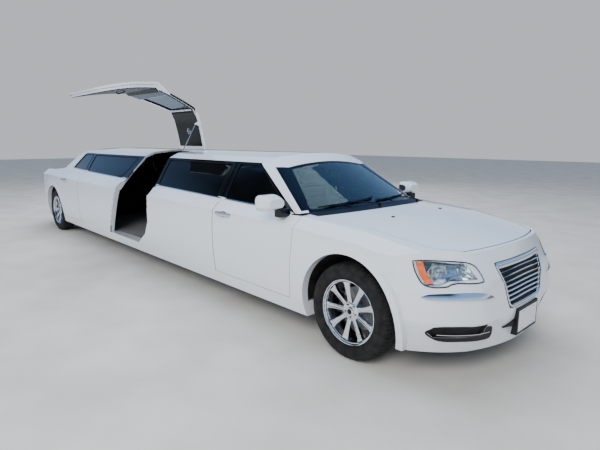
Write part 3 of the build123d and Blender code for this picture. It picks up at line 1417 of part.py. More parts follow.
with BuildPart() as strut_tube:
    with BuildSketch(strut_plane.offset(STRUT_EYE_R - 3)):
        Circle(STRUT_TUBE_R)
    extrude(amount=STRUT_TUBE - STRUT_EYE_R + 3)
    with BuildSketch(strut_plane.offset(STRUT_EYE_R + 9)):
        Circle(STRUT_BORE_R)
    extrude(amount=STRUT_TUBE, mode=Mode.SUBTRACT)
    add(strut_eye(0, STRUT_BORE_R + SEAT))
finish(strut_tube, "strut_tube")

with BuildPart() as strut_rod:
    with BuildSketch(strut_plane.offset(STRUT_ROD_FROM)):
        Circle(STRUT_ROD_R)
    extrude(amount=strut_open - STRUT_ROD_FROM - 5)
    add(strut_eye(strut_open, 3))
finish(strut_rod, "strut_rod")
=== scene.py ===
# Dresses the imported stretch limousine: paint, glass, brightwork, lamps, wheels and cabin.
import bmesh
import bpy
import json
from math import cos, pi, radians, sin
from mathutils import Matrix, Vector, geometry
from mathutils.bvhtree import BVHTree

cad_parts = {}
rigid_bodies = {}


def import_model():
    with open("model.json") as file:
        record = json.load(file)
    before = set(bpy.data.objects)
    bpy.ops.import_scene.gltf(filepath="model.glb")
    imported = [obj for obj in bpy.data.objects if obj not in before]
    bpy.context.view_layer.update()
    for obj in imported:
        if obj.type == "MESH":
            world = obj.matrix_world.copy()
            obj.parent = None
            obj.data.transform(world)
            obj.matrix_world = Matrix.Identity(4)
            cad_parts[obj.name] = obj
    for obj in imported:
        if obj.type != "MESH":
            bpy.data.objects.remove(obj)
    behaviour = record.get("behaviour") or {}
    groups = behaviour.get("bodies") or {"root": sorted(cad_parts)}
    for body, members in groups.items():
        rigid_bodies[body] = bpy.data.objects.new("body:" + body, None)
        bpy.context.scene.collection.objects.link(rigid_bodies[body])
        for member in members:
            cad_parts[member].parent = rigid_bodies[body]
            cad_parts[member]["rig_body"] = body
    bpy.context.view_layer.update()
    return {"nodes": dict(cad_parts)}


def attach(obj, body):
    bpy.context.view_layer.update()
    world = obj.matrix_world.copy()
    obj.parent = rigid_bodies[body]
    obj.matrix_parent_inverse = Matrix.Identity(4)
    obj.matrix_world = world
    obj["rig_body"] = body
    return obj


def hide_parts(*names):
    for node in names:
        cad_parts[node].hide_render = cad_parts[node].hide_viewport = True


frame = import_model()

bl_info = {
    "name": "Stretch limousine",
    "version": (1, 0, 0),
    "blender": (4, 5, 0),
    "location": "3D View > Sidebar > Limousine",
    "description": "Dresses a stretch limousine around its packed solids",
    "category": "Object",
}

RIGHT, LEFT = -1, 1
SIDES = ((RIGHT, "right"), (LEFT, "left"))
FINISH = {}

# Nodes and shader graphs


def linear(hex_colour):
    """sRGB hex to linear RGBA."""
    values = [int(hex_colour[i:i + 2], 16) / 255 for i in (1, 3, 5)]
    return [v / 12.92 if v <= 0.04045 else ((v + 0.055) / 1.055) ** 2.4 for v in values] + [1.0]


def put(tree, kind, inputs=None, **settings):
    """Adds a node, sets its attributes and fills its sockets with values or links."""
    made = tree.nodes.new(kind)
    for name, value in settings.items():
        setattr(made, name, value)
    for socket, value in (inputs or {}).items():
        if isinstance(value, bpy.types.NodeSocket):
            tree.links.new(value, made.inputs[socket])
        else:
            made.inputs[socket].default_value = value
    return made


def material(name, colour, **sockets):
    """A Principled material and its tree, shader and Object coordinates."""
    made = bpy.data.materials.new(name)
    made.use_nodes = True
    tree = made.node_tree
    shader = tree.nodes["Principled BSDF"]
    shader.inputs["Base Color"].default_value = linear(colour)
    for socket, value in sockets.items():
        shader.inputs[socket.replace("_", " ")].default_value = value
    return made, tree, shader, put(tree, "ShaderNodeTexCoord").outputs["Object"]


def varied(tree, shader, coordinate, low, high, size, detail=3):
    """Base colour drifting between two hex colours over blotches of a size in metres."""
    noise = put(tree, "ShaderNodeTexNoise", {"Vector": coordinate, "Scale": 1 / size, "Detail": detail})
    ramp = put(tree, "ShaderNodeValToRGB", {"Fac": noise.outputs["Fac"]})
    ramp.color_ramp.elements[0].position, ramp.color_ramp.elements[1].position = 0.35, 0.65
    ramp.color_ramp.elements[0].color, ramp.color_ramp.elements[1].color = linear(low), linear(high)
    tree.links.new(ramp.outputs["Color"], shader.inputs["Base Color"])


def worn(tree, shader, coordinate, low, high, size):
    """Roughness drifting between two values over blotches of a size in metres."""
    noise = put(tree, "ShaderNodeTexNoise", {"Vector": coordinate, "Scale": 1 / size, "Detail": 4})
    spread = put(tree, "ShaderNodeMapRange", {"Value": noise.outputs["Fac"], 1: 0.3, 2: 0.7, 3: low, 4: high})
    tree.links.new(spread.outputs["Result"], shader.inputs["Roughness"])


def bumped(tree, shader, height, strength, depth):
    """Bump from a height socket, with its depth in metres."""
    bump = put(tree, "ShaderNodeBump", {"Height": height, "Strength": strength, "Distance": depth})
    tree.links.new(bump.outputs["Normal"], shader.inputs["Normal"])


def grained(tree, shader, coordinate, size, strength, depth=0.0004):
    """Moulded or leather grain, as bump from cells of a size in metres."""
    cells = put(tree, "ShaderNodeTexVoronoi", {"Vector": coordinate, "Scale": 1 / size})
    bumped(tree, shader, cells.outputs["Distance"], strength, depth)


def make_materials(look):
    """Every finish of the car, by its plain name."""
    made = {}

    def add(key, name, colour, drift=(), wear=(), grain=(), **sockets):
        """Keeps a material under its key, with its drifting colour, worn gloss and grain."""
        made[key], tree, shader, place = material(name, colour, **sockets)
        for work, values in ((varied, drift), (worn, wear), (grained, grain)):
            if values:
                work(tree, shader, place, *values)
        return tree, shader, place

    # Two-stage white enamel under clear lacquer: even, glossy, a little road film low down
    tree, shader, place = add(
        "paint", "paint_white_enamel", look.paint_hex,
        Roughness=0.3, Coat_Weight=1.0, Coat_Roughness=0.03, Coat_IOR=1.8
    )
    height = put(tree, "ShaderNodeSeparateXYZ", {"Vector": place})
    film = put(tree, "ShaderNodeMapRange", {"Value": height.outputs["Z"], 1: 0.5, 2: 0.2, 3: 0.0, 4: 0.3})
    speckle = put(tree, "ShaderNodeTexNoise", {"Vector": place, "Scale": 1 / 0.08, "Detail": 6})
    amount = put(tree, "ShaderNodeMath", {
        0: film.outputs["Result"], 1: speckle.outputs["Fac"]
    }, operation="MULTIPLY")
    dirty = put(tree, "ShaderNodeMix", {
        0: amount.outputs["Value"], 6: linear(look.paint_hex), 7: linear("#B9B2A4")
    }, data_type="RGBA")
    tree.links.new(dirty.outputs[2], shader.inputs["Base Color"])
    peel = put(tree, "ShaderNodeTexNoise", {"Vector": place, "Scale": 1 / 0.012, "Detail": 1})
    bumped(tree, shader, peel.outputs["Fac"], 0.02, 0.0004)

    # Gloss black lacquer on pillars and door frames: deep and even
    add("black_gloss", "lacquer_black_gloss", "#050506", ("#040405", "#0A0A0C", 0.2),
        Roughness=0.16, Specular_IOR_Level=0.35)
    # Gloss black moulded lining: fine grain
    add("lining", "abs_gloss_black", "#060607", ("#040405", "#09090A", 0.15), grain=(0.003, 0.08),
        Roughness=0.3, Specular_IOR_Level=0.3)
    # Privacy glass: nearly black body tint, polished
    add("dark_glass", "glass_privacy_tint", "#0E1113", ("#0B0E10", "#12161A", 0.4),
        Roughness=0.0, IOR=1.4, Transmission_Weight=0.55)
    # Laminated windscreen: faint green tint
    add("screen_glass", "glass_laminated_green", "#B5CEC0", ("#AFC9BB", "#BCD3C6", 0.6),
        Roughness=0.0, IOR=1.45, Transmission_Weight=1.0)
    # Clear polycarbonate lamp lens: shows what is behind it
    add("lens", "polycarbonate_clear", "#EEF3F5", ("#E8EEF0", "#F4F8F9", 0.1),
        Roughness=0.02, IOR=1.2, Transmission_Weight=1.0)

    # Red and amber lenses: moulded acrylic with prisms behind
    for key, name, low, high in (
        ("red_lens", "acrylic_red", "#7E0A0C", "#9B1013"),
        ("amber_lens", "acrylic_amber", "#D5603A", "#E87A4C"),
    ):
        tree, shader, place = add(key, name, low, (low, high, 0.03),
                                  Roughness=0.12, Coat_Weight=0.8, Coat_Roughness=0.02)
        prisms = put(tree, "ShaderNodeTexWave", {"Vector": place, "Scale": 1 / 0.02, "Distortion": 0.0},
                     bands_direction="Z")
        bumped(tree, shader, prisms.outputs["Fac"], 0.5, 0.002)

    # Chrome plate: mirror bright with faint water marks
    add("chrome", "chrome_plate", "#E9ECEF", wear=(0.04, 0.13, 0.05), Metallic=1.0, Roughness=0.07)
    # Vacuum-metallised reflector: bright, slightly hazy
    add("reflector", "reflector_metallised", "#DEE3E6", wear=(0.25, 0.4, 0.02), Metallic=1.0, Roughness=0.3)
    # Pearl-white moulded lamp surround: soft sheen under the lens edge
    add("pearl", "lamp_rim_pearl", "#C9D3D8", ("#BECAD0", "#D5DDE1", 0.03),
        Roughness=0.18, Metallic=0.3, Coat_Weight=0.8)
    # Tyre rubber: matt, carbon black, dusty
    add("tyre", "rubber_tyre", "#1B1B1C", ("#141415", "#262524", 0.05, 6), grain=(0.003, 0.25),
        Roughness=0.85)
    # Extruded rubber seals: dull black
    add("seal", "rubber_extruded", "#0B0B0C", ("#08080A", "#121214", 0.05), Roughness=0.55)

    # Moulded ABS, black and dark grey: leather-like grain
    for key, name, low, high in (
        ("black_plastic", "abs_grained_black", "#0D0D0E", "#161617"),
        ("grey_plastic", "abs_grained_grey", "#2A2B2D", "#333437"),
    ):
        add(key, name, low, (low, high, 0.1), grain=(0.0025, 0.3), Roughness=0.6)
    # Leather, black and pale grey: pebbled grain with a low sheen
    for key, name, low, high in (
        ("leather", "leather_grained_black", "#0F0E0E", "#1B1A19"),
        ("pale_leather", "leather_grained_grey", "#A9A9A8", "#BBBBB9"),
    ):
        add(key, name, low, (low, high, 0.12, 5), grain=(0.004, 0.35), Roughness=0.45, Sheen_Weight=0.15)

    # Loop-pile carpet: dark, matt and knobbly
    add("carpet", "carpet_loop_pile", "#151517", ("#101012", "#202023", 0.006, 2), grain=(0.005, 0.8, 0.002),
        Roughness=0.95, Sheen_Weight=0.3)
    # Knitted headliner cloth: pale, with a fine weave
    add("headliner", "headliner_knit", "#A6A7A8", ("#9C9D9F", "#AEAFB0", 0.05), grain=(0.002, 0.3),
        Roughness=0.9, Sheen_Weight=0.3)
    # Underbody coating: bituminous, rough, dusted by the road
    add("underseal", "underseal_bitumen", "#1A1918", ("#121211", "#2E2B27", 0.12, 8),
        grain=(0.008, 0.5, 0.001),
        Roughness=0.9)
    # Sand-cast iron and aluminium: grey-brown and rough
    add("cast", "iron_sand_cast", "#4A4744", ("#3A3735", "#5A5450", 0.06, 6), grain=(0.004, 0.5),
        Metallic=0.7, Roughness=0.6)
    # Rolled or turned steel: dull in blotches
    add("steel", "steel_rolled", "#9A9B9C", wear=(0.25, 0.5, 0.03), Metallic=1.0, Roughness=0.35)

    # Black lacquered veneer of the bar: grain along its length
    tree, shader, place = add("veneer", "veneer_ebonised", "#1C1310",
                              Roughness=0.2, Coat_Weight=0.8, Coat_Roughness=0.04)
    stretched = put(tree, "ShaderNodeMapping", {"Vector": place, "Scale": (1 / 0.4, 1 / 0.02, 1 / 0.02)})
    figure = put(tree, "ShaderNodeTexNoise",
        {"Vector": stretched.outputs["Vector"], "Scale": 1.0, "Detail": 6})
    grain = put(tree, "ShaderNodeValToRGB", {"Fac": figure.outputs["Fac"]})
    for stop, hue in zip(grain.color_ramp.elements, ("#120B08", "#3A2418")):
        stop.color = linear(hue)
    tree.links.new(grain.outputs["Color"], shader.inputs["Base Color"])

    # Enamelled plate: plain white, glossy
    add("plate", "plate_white_enamel", look.plate_hex, (look.plate_hex, "#E6E9ED", 0.1),
        Roughness=0.3, Coat_Weight=0.4)
    # Silvered mirror glass: clear reflection
    add("mirror", "mirror_silvered", "#DCE2E4", ("#D6DCDF", "#E2E7E9", 0.2), Metallic=1.0, Roughness=0.02)
    # Pale trowelled floor: matt, hardly mottled
    add("floor", "floor_pale_trowelled", "#CCC9C4", ("#C6C2BC", "#D2CFCA", 0.6, 5),
        Roughness=0.95, Specular_IOR_Level=0.0)
    return made


# Mesh helpers

# Corners nearer than this are one point when a solid's mesh is merged
WELD = 3e-5
# Search beside a ray that meets nothing: step along it, number of steps, and the widest gap accepted
NEAR_STEP, NEAR_STEPS, NEAR_GAP = 0.02, 250, 0.05


def new_piece(name, mesh, finish):
    """An object with one finish, or a list of them in the order of its faces' slots."""
    piece = bpy.data.objects.new(name, mesh)
    bpy.context.scene.collection.objects.link(piece)
    for key in (finish if isinstance(finish, (list, tuple)) else [finish]):
        mesh.materials.append(FINISH[key])
    return piece


def fasten(piece, body, slot, *nodes):
    """The piece rides on a body and may stand for CAD nodes, which are hidden; the slot is not used."""
    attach(piece, body)
    if nodes:
        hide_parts(*nodes)
    return piece


def mesh_of(name, points, faces):
    mesh = bpy.data.meshes.new(name)
    mesh.from_pydata([tuple(p) for p in points], [], faces)
    mesh.validate()
    mesh.update()
    return mesh


def bake(piece):
    """Applies the modifiers."""
    graph = bpy.context.evaluated_depsgraph_get()
    mesh = bpy.data.meshes.new_from_object(piece.evaluated_get(graph), depsgraph=graph)
    piece.modifiers.clear()
    piece.data = mesh


def settle(piece, angle=30):
    """Applies the modifiers and shades the result."""
    bake(piece)
    shade(piece, angle)
    return piece


def wall(piece, thickness, offset):
    """Gives a skin its thickness."""
    shell = piece.modifiers.new("wall", "SOLIDIFY")
    shell.thickness, shell.offset = thickness, offset
    return settle(piece, 40)


def shade(piece, angle=30):
    """Shades smooth, apart from edges sharper than an angle."""
    mesh = piece.data
    mesh.polygons.foreach_set("use_smooth", [True] * len(mesh.polygons))
    mesh.set_sharp_from_angle(angle=radians(angle))
    mesh.update()


def face_out(mesh):
    """Merges doubles and turns the faces outwards."""
    bm = bmesh.new()
    bm.from_mesh(mesh)
    bmesh.ops.remove_doubles(bm, verts=bm.verts, dist=1e-6)
    bmesh.ops.recalc_face_normals(bm, faces=bm.faces)
    bm.to_mesh(mesh)
    bm.free()


def spread(low, high, count):
    """Even values from low to high, both included."""
    return [low + (high - low) * i / (count - 1) for i in range(count)]


def circle(count, across=1.0, up=None):
    """Points round a circle or oval, as (across, up)."""
    angles = [2 * pi * k / count for k in range(count)]
    return [(across * cos(a), (across if up is None else up) * sin(a)) for a in angles]


def squared(count, flat_across, flat_up):
    """Points round a rounded rectangle of half sizes 1, squarer with smaller powers."""
    made = []
    for c, s in circle(count):
        made.append((abs(c) ** flat_across * (1 if c > 0 else -1), abs(s) ** flat_up * (1 if s > 0 else -1)))
    return made


def grid(name, rows, closed=True, ends=False, finish="chrome", angle=30):
    """Skin over rows of points; closed joins each row's ends, ends caps the first and last row."""
    count = len(rows[0])
    points = [p for row in rows for p in row]
    faces = []
    for r in range(len(rows) - 1):
        for c in range(count if closed else count - 1):
            d = (c + 1) % count
            faces.append((r * count + c, r * count + d, (r + 1) * count + d, (r + 1) * count + c))
    if ends:
        faces.append(tuple(range(count - 1, -1, -1)))
        faces.append(tuple(range((len(rows) - 1) * count, len(rows) * count)))
    mesh = mesh_of(name, points, faces)
    face_out(mesh)
    piece = new_piece(name, mesh, finish)
    shade(piece, angle)
    return piece


def sweep(name, line, profile, finish="chrome", closed=False, taper=None, angle=35):
    """Runs a closed profile (across, out) along a line of points with normals out of what carries it."""
    path = [p for p, _ in line]
    count = len(path)
    rows = []
    for i, (p, n) in enumerate(line):
        before = path[i - 1] if i or closed else p
        after = path[(i + 1) % count] if i < count - 1 or closed else p
        along = (after - before).normalized()
        out = (n - along * along.dot(n)).normalized()
        across = along.cross(out)
        size = taper(i / (count - 1)) if taper else (1, 1)
        rows.append([p + across * a * size[0] + out * b * size[1] for a, b in profile])
    if closed:
        rows.append(rows[0])
    return grid(name, rows, ends=not closed, finish=finish, angle=angle)


def lathe(name, profile, centre, side, finish="chrome", steps=96, angle=30):
    """Turns a profile of (radius, outward) about the wheel axis through centre."""
    x, y, z = centre
    rows = []
    for i in range(steps + 1):
        a = 2 * pi * i / steps
        rows.append([Vector((x + r * cos(a), y + side * out, z + r * sin(a))) for r, out in profile])
    return grid(name, rows, finish=finish, angle=angle)


def joined(name, pieces):
    """Several pieces of one body made one, with their materials."""
    bm = bmesh.new()
    slots = []
    for piece in pieces:
        kept = list(piece.data.materials)
        start = len(bm.faces)
        bm.from_mesh(piece.data)
        bm.faces.ensure_lookup_table()
        for face in bm.faces[start:]:
            used = kept[face.material_index]
            if used not in slots:
                slots.append(used)
            face.material_index = slots.index(used)
    mesh = bpy.data.meshes.new(name)
    bm.to_mesh(mesh)
    bm.free()
    for used in slots:
        mesh.materials.append(used)
    for piece in pieces:
        bpy.data.objects.remove(piece)
    whole = bpy.data.objects.new(name, mesh)
    bpy.context.scene.collection.objects.link(whole)
    return whole


def surface_of(*nodes):
    """Ray target made of CAD nodes."""
    bm = bmesh.new()
    for node in nodes:
        bm.from_mesh(frame["nodes"][node].data)
    tree = BVHTree.FromBMesh(bm)
    bm.free()
    return tree


def meet(tree, start, direction):
    """Where a ray first meets the surface, or None."""
    return tree.ray_cast(Vector(start), Vector(direction))[0]


def land(tree, start, direction, lift=0.0):
    """Where a ray meets the surface or the edge it just misses, lifted off it, and the normal there."""
    start, direction = Vector(start), Vector(direction).normalized()
    hit, normal, _, _ = tree.ray_cast(start, direction)
    if hit is None:
        passes = [tree.find_nearest(start + direction * NEAR_STEP * step) for step in range(NEAR_STEPS)]
        found = [near for near in passes if near[0] is not None]
        hit, normal, _, gap = min(found, key=lambda near: near[3])
        if gap > NEAR_GAP:
            raise ValueError(f"no surface from {start} along {direction}, nearest {gap:.3f}")
        if normal.dot(direction) > 0:
            normal = -normal
    return hit + normal * lift, normal


def cling(tree, point, lift=0.0):
    """The surface's nearest point, lifted off it away from the car's middle, and the normal there."""
    hit, normal, _, _ = tree.find_nearest(Vector(point))
    if normal.dot(Vector((hit.x * 0.3, hit.y, hit.z - 0.6))) < 0:
        normal = -normal
    return hit + normal * lift, normal


def side_point(tree, side, x, z, lift=0.0):
    """Landing point of a level ray from beside the car."""
    return land(tree, (x, side * 1.5, z), (0, -side, 0), lift)


def dress(node, name, finish, slot=None, bevel=0.0015, angle=32, sort=None, cut=None, glass=False):
    """A merged, smooth-shaded copy of a CAD node that replaces it; sort gives each face its finish."""
    source = frame["nodes"][node]
    mesh = source.data.copy()
    mesh.materials.clear()
    bm = bmesh.new()
    bm.from_mesh(mesh)
    bmesh.ops.remove_doubles(bm, verts=bm.verts, dist=WELD)
    if not glass:
        bmesh.ops.dissolve_limit(bm, angle_limit=radians(0.6), verts=bm.verts, edges=bm.edges)
    for co, no in cut or ():
        bmesh.ops.bisect_plane(bm, geom=bm.verts[:] + bm.edges[:] + bm.faces[:], plane_co=co, plane_no=no)
    if sort:
        for face in bm.faces:
            face.material_index = sort(face.calc_center_median(), face.normal)
    bm.to_mesh(mesh)
    bm.free()
    piece = new_piece(name, mesh, finish)
    if bevel:
        rounding = piece.modifiers.new("rounded_edges", "BEVEL")
        rounding.width, rounding.segments = bevel, 2
        rounding.limit_method, rounding.angle_limit = "ANGLE", radians(angle)
        rounding.harden_normals = False
    shade(piece, angle)
    if glass:
        return fasten(piece, source["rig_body"], slot or node, node)
    weigh = piece.modifiers.new("even_shading", "WEIGHTED_NORMAL")
    weigh.keep_sharp = True
    bake(piece)
    return fasten(piece, source["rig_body"], slot or node, node)


# Geometry Nodes trees

FINISH_INPUT = ("Finish", "NodeSocketMaterial", None)


def group_with(name, *sockets):
    """A Geometry Nodes tree with named inputs, and its input and output nodes."""
    tree = bpy.data.node_groups.new(name, "GeometryNodeTree")
    tree.interface.new_socket("Geometry", in_out="INPUT", socket_type="NodeSocketGeometry")
    for label, kind, default in sockets:
        socket = tree.interface.new_socket(label, in_out="INPUT", socket_type=kind)
        if default is not None:
            socket.default_value = default
    tree.interface.new_socket("Geometry", in_out="OUTPUT", socket_type="NodeSocketGeometry")
    return tree, put(tree, "NodeGroupInput"), put(tree, "NodeGroupOutput")


def realized(tree, given, result, places, **turned):
    """Ends a tree: the incoming mesh at each place, made real and given its finish."""
    placed = put(tree, "GeometryNodeInstanceOnPoints", {
        "Points": places, "Instance": given.outputs["Geometry"], **turned
    })
    real = put(tree, "GeometryNodeRealizeInstances", {"Geometry": placed.outputs["Instances"]})
    painted = put(tree, "GeometryNodeSetMaterial", {
        "Geometry": real.outputs["Geometry"], "Material": given.outputs["Finish"]
    })
    tree.links.new(painted.outputs["Geometry"], result.inputs["Geometry"])
    return tree


def ring_tree():
    """Copies of the incoming mesh turned evenly about the Y axis."""
    tree, given, result = group_with(
        "copies_round_a_hub", ("Count", "NodeSocketInt", 9), ("Start", "NodeSocketFloat", 0.0), FINISH_INPUT
    )
    points = put(tree, "GeometryNodePoints", {"Count": given.outputs["Count"]})
    index = put(tree, "GeometryNodeInputIndex")
    step = put(tree, "ShaderNodeMath", {0: 2 * pi, 1: given.outputs["Count"]}, operation="DIVIDE")
    turn = put(tree, "ShaderNodeMath", {
        0: index.outputs["Index"], 1: step.outputs["Value"], 2: given.outputs["Start"]
    }, operation="MULTIPLY_ADD")
    spin = put(tree, "ShaderNodeCombineXYZ", {"Y": turn.outputs["Value"]})
    return realized(tree, given, result, points.outputs["Points"], Rotation=spin.outputs["Vector"])


def row_tree():
    """Copies of the incoming mesh stepped along a line."""
    tree, given, result = group_with(
        "copies_in_a_row", ("Count", "NodeSocketInt", 8), ("Step", "NodeSocketVector", (0.0, 0.0, 0.03)),
        FINISH_INPUT
    )
    line = put(tree, "GeometryNodeMeshLine", {
        "Count": given.outputs["Count"], "Offset": given.outputs["Step"]
    })
    return realized(tree, given, result, line.outputs["Mesh"])


def repeat(piece, tree, angle=30, **inputs):
    """Runs a tree on a piece and keeps the result as a plain mesh."""
    copies = piece.modifiers.new("copies", "NODES")
    copies.node_group = tree
    for item in tree.interface.items_tree:
        if item.in_out == "INPUT" and item.name in inputs:
            copies[item.identifier] = inputs[item.name]
    return settle(piece, angle)


# Body

# Belt line under the side glass: a point of it, and how much it rises for each metre astern
BELT_X, BELT_Z, BELT_RISE = 2.984, 1.006, 0.02
BELT_SLOPE = Vector((BELT_RISE, 0.0, 1.0)).normalized()
# The black frames start this far above the belt line
BLACK_FROM = 0.022
# Material slots of a painted panel
PAINT, BLACK, INNER = range(3)


def belt(x, above=0.0):
    """Height of the belt line at x."""
    return BELT_Z + (BELT_X - x) * BELT_RISE + above


PAINTED = {
    "body_side_right": "side_panels_right", "body_side_left": "side_panel_left", "roof": "roof_panel",
    "front_fenders": "front_fenders_painted", "front_bumper": "front_bumper_cover",
    "rear_body": "rear_quarters",
    "rear_bumper": "rear_bumper_cover", "sills": "sill_covers", "bonnet": "bonnet_panel",
    "boot_lid": "boot_lid_panel",
    "front_door_right": "front_door_right_shell", "front_door_left": "front_door_left_shell",
    "rear_door_right": "rear_door_right_shell", "rear_door_left": "rear_door_left_shell",
}
DARK_FRAMES = tuple(
    f"{part}_{label}" for part in ("body_side", "front_door", "rear_door") for _, label in SIDES
)
TOPS = ("roof", "bonnet", "boot_lid")
LINED = DARK_FRAMES + TOPS + ("rear_body", "front_fenders", "front_bumper", "rear_bumper")


def sorter(node):
    """Gives a face paint, black frame lacquer or inner trim by where it lies on the panel."""
    tree = surface_of(node)
    dark = node in DARK_FRAMES

    def from_above(centre, normal):
        outer = meet(tree, (centre.x, centre.y, 2.0), (0, 0, -1))
        depth = outer.z - centre.z if outer else 0.0
        rim = node == "bonnet" and abs(normal.z) < 0.5 and depth < 0.04
        return INNER if depth > 0.012 and normal.z < 0.3 and not rim else PAINT

    def from_side(centre, normal):
        side = RIGHT if centre.y < 0 else LEFT
        outer = meet(tree, (centre.x, side * 1.5, centre.z), (0, -side, 0))
        depth = abs(outer.y) - abs(centre.y) if outer else 0.0
        x, y, z = centre.x, abs(centre.y), centre.z
        if "front_door" in node:
            arm = 2.74 < x < 2.95 and 0.81 < y < 0.96 and z < 1.052
            if arm and (z > 1.0 or y > 0.89 and z > 0.97):
                return BLACK
            mirror_shell = x > 2.6 and z > 1.0 and y > 0.885
            if mirror_shell:
                return PAINT
        grille_recess = node == "front_bumper" and abs(normal.x) < 0.3 and 0.33 < z < 0.45 and 0.48 < y < 0.85
        if grille_recess:
            return INNER
        doorway_edge = node == "body_side_right" and normal.x > 0.35 and -0.95 < x < -0.15 and depth < 0.12
        if doorway_edge:
            return PAINT
        if side * normal.y < -0.35 and depth > 0.016 or (dark and depth > 0.03):
            return INNER
        return BLACK if dark and z > belt(x, BLACK_FROM) else PAINT
    return from_above if node in TOPS else from_side


def paint_body(look):
    """Panels of white paint, with black frames above the belt line and trim on their inner faces."""
    for node, name in PAINTED.items():
        cabin_side = node in DARK_FRAMES or node == "rear_body"
        inner = "headliner" if node == "roof" else "grey_plastic" if cabin_side else "underseal"
        cut = [(Vector((BELT_X, 0, BELT_Z + BLACK_FROM)), BELT_SLOPE)] if node in DARK_FRAMES else None
        sort = sorter(node) if node in LINED else None
        dress(node, name, ["paint", "black_gloss", inner], sort=sort, cut=cut, bevel=look.edge_radius)


# Corner of the rear bumper above the exhaust: centre of its bow, the heights that the insert spans, the angle
# where the corner is open, how far the insert laps over at each edge, and its section as (share, depth)
BOW_CENTRE = (-3.9, 0.45)
CORNER_FOOT, CORNER_TOP = 0.335, 0.556
OPEN_AT, LAP = 36, 1.5
CORNER_SECTION = [(k / 6, 0.0015) for k in range(7)] + [(1 - k / 6, 0.006) for k in range(7)]


def close_corners():
    """Painted insert that closes each rear corner of the bumper above the exhaust."""
    tree = surface_of("rear_bumper")
    for side, label in SIDES:
        def ray(degrees, z):
            way = Vector((-cos(radians(degrees)), side * sin(radians(degrees)), 0))
            return Vector((BOW_CENTRE[0], side * BOW_CENTRE[1], z)), way

        def reach(degrees, z):
            middle, way = ray(degrees, z)
            hit = tree.ray_cast(middle + way * 1.2, -way, 1.1)[0]
            return (hit - middle).length if hit else 0.0

        rows = []
        for z in spread(CORNER_FOOT, CORNER_TOP, 14):
            if not reach(OPEN_AT, z):
                low = next(a for a in range(OPEN_AT, 10, -1) if reach(a, z))
                high = next(a for a in range(OPEN_AT, 62) if reach(a, z))
            first, last = reach(low, z), reach(high, z)
            row = []
            for share, depth in CORNER_SECTION:
                middle, way = ray(low - LAP + (high - low + 2 * LAP) * share, z)
                row.append(middle + way * (first + (last - first) * share - depth))
            rows.append(row)
        insert = grid(f"rear_bumper_insert_{label}", rows, ends=True, finish="paint", angle=40)
        fasten(insert, "body", "rear_bumper")


DARK_PANES = (
    "front_door_right_glass", "front_door_left_glass", "rear_door_right_glass", "rear_door_left_glass",
    "fixed_glass",
)


def glaze():
    """Every pane but the gull-wing door's own."""
    for node in DARK_PANES + ("windscreen",):
        finish = "dark_glass" if node in DARK_PANES else "screen_glass"
        dress(node, node + "_pane", finish, bevel=0, glass=True)


# Brightwork, seals and door furniture

# Sections of moulding, window bead, gasket and handle strap, as (across, out)
BAND = [(-0.007, -0.001), (0.007, -0.001), (0.007, 0.002), (0.004, 0.0042), (-0.004, 0.0042), (-0.007, 0.002)]
BEAD = [(-0.005, -0.002), (0.005, -0.002), (0.004, 0.003), (-0.004, 0.003)]
GASKET = [(-0.003, -0.003), (0.003, -0.003), (0.0025, 0.0018), (-0.0025, 0.0018)]
STRAP = [(-0.017, -0.006), (0.0, -0.007), (0.017, -0.006), (0.018, 0.0), (0.012, 0.007), (0.0, 0.0095),
         (-0.012, 0.007), (-0.018, 0.0)]

# Belt moulding stretches: body, slot, side, and the x it runs between
BELT_RUNS = (
    ("front_door_right", "front_door_right", RIGHT, 2.762, 1.832),
    ("front_door_left", "front_door_left", LEFT, 2.762, 1.832),
    ("body", "body_side_right", RIGHT, 1.815, 0.408),
    ("body", "body_side_right", RIGHT, -0.476, -2.034),
    ("body", "body_side_left", LEFT, 1.815, -2.034),
    ("rear_door_right", "rear_door_right", RIGHT, -2.05, -2.815),
    ("rear_door_left", "rear_door_left", LEFT, -2.05, -2.815),
)


def stations(start, end, pitch=0.06):
    """Even places from start to end, about a pitch apart."""
    return spread(start, end, max(2, int(abs(end - start) / pitch) + 1))


def belt_strips():
    """Chrome moulding under the side glass, one stretch for each panel it lies on."""
    for index, (body, node, side, start, end) in enumerate(BELT_RUNS):
        tree = surface_of(node)
        line = [side_point(tree, side, x, belt(x, 0.01), 0.0002) for x in stations(start, end)]
        fasten(sweep(f"belt_moulding_{index + 1}_{node}", line, BAND), body, "grille")


# Door handles: the door, the x of both ends and the height
HANDLES = (("front_door", 1.886, 2.125, 0.915), ("rear_door", -2.79, -2.56, 0.944))


def door_handles():
    """Chrome pull handles, standing off the door on two feet, with a shallow black dish behind that is
    painted shade of the handle's recess.
    """
    for name, back, front, height in HANDLES:
        for side, label in SIDES:
            node = f"{name}_{label}"
            tree = surface_of(node)
            reach = front - back
            line = []
            for t in spread(0, 1, 17):
                p, n = side_point(tree, side, back + reach * t, height + 0.004 * sin(pi * t))
                stand = 0.03 * min(1.0, 4.2 * min(t, 1 - t)) ** 0.5 if 0 < t < 1 else 0.0
                line.append((p + n * (stand + 0.002), n))
            pull = sweep("pull", line, STRAP, taper=lambda t: (1 - 0.25 * abs(2 * t - 1) ** 3, 1))
            # Painted shade: a black dish on the door's face stands for the shade in the handle's recess,
            # which is not cut into the door.
            shade_cup_rows = []
            for ring, depth in ((1.0, 0.0003), (0.86, 0.0012), (0.55, 0.0008), (0.05, 0.0006)):
                oval = circle(32, 0.062 * ring, 0.024 * ring)
                shade_cup_rows.append([
                    side_point(tree, side, back + reach / 2 + u, height + v, depth)[0] for u, v in oval
                ])
            shade_cup = grid("shade_cup", shade_cup_rows, finish="black_gloss")
            fasten(joined(f"door_handle_{node}", [pull, shade_cup]), node, "grille")


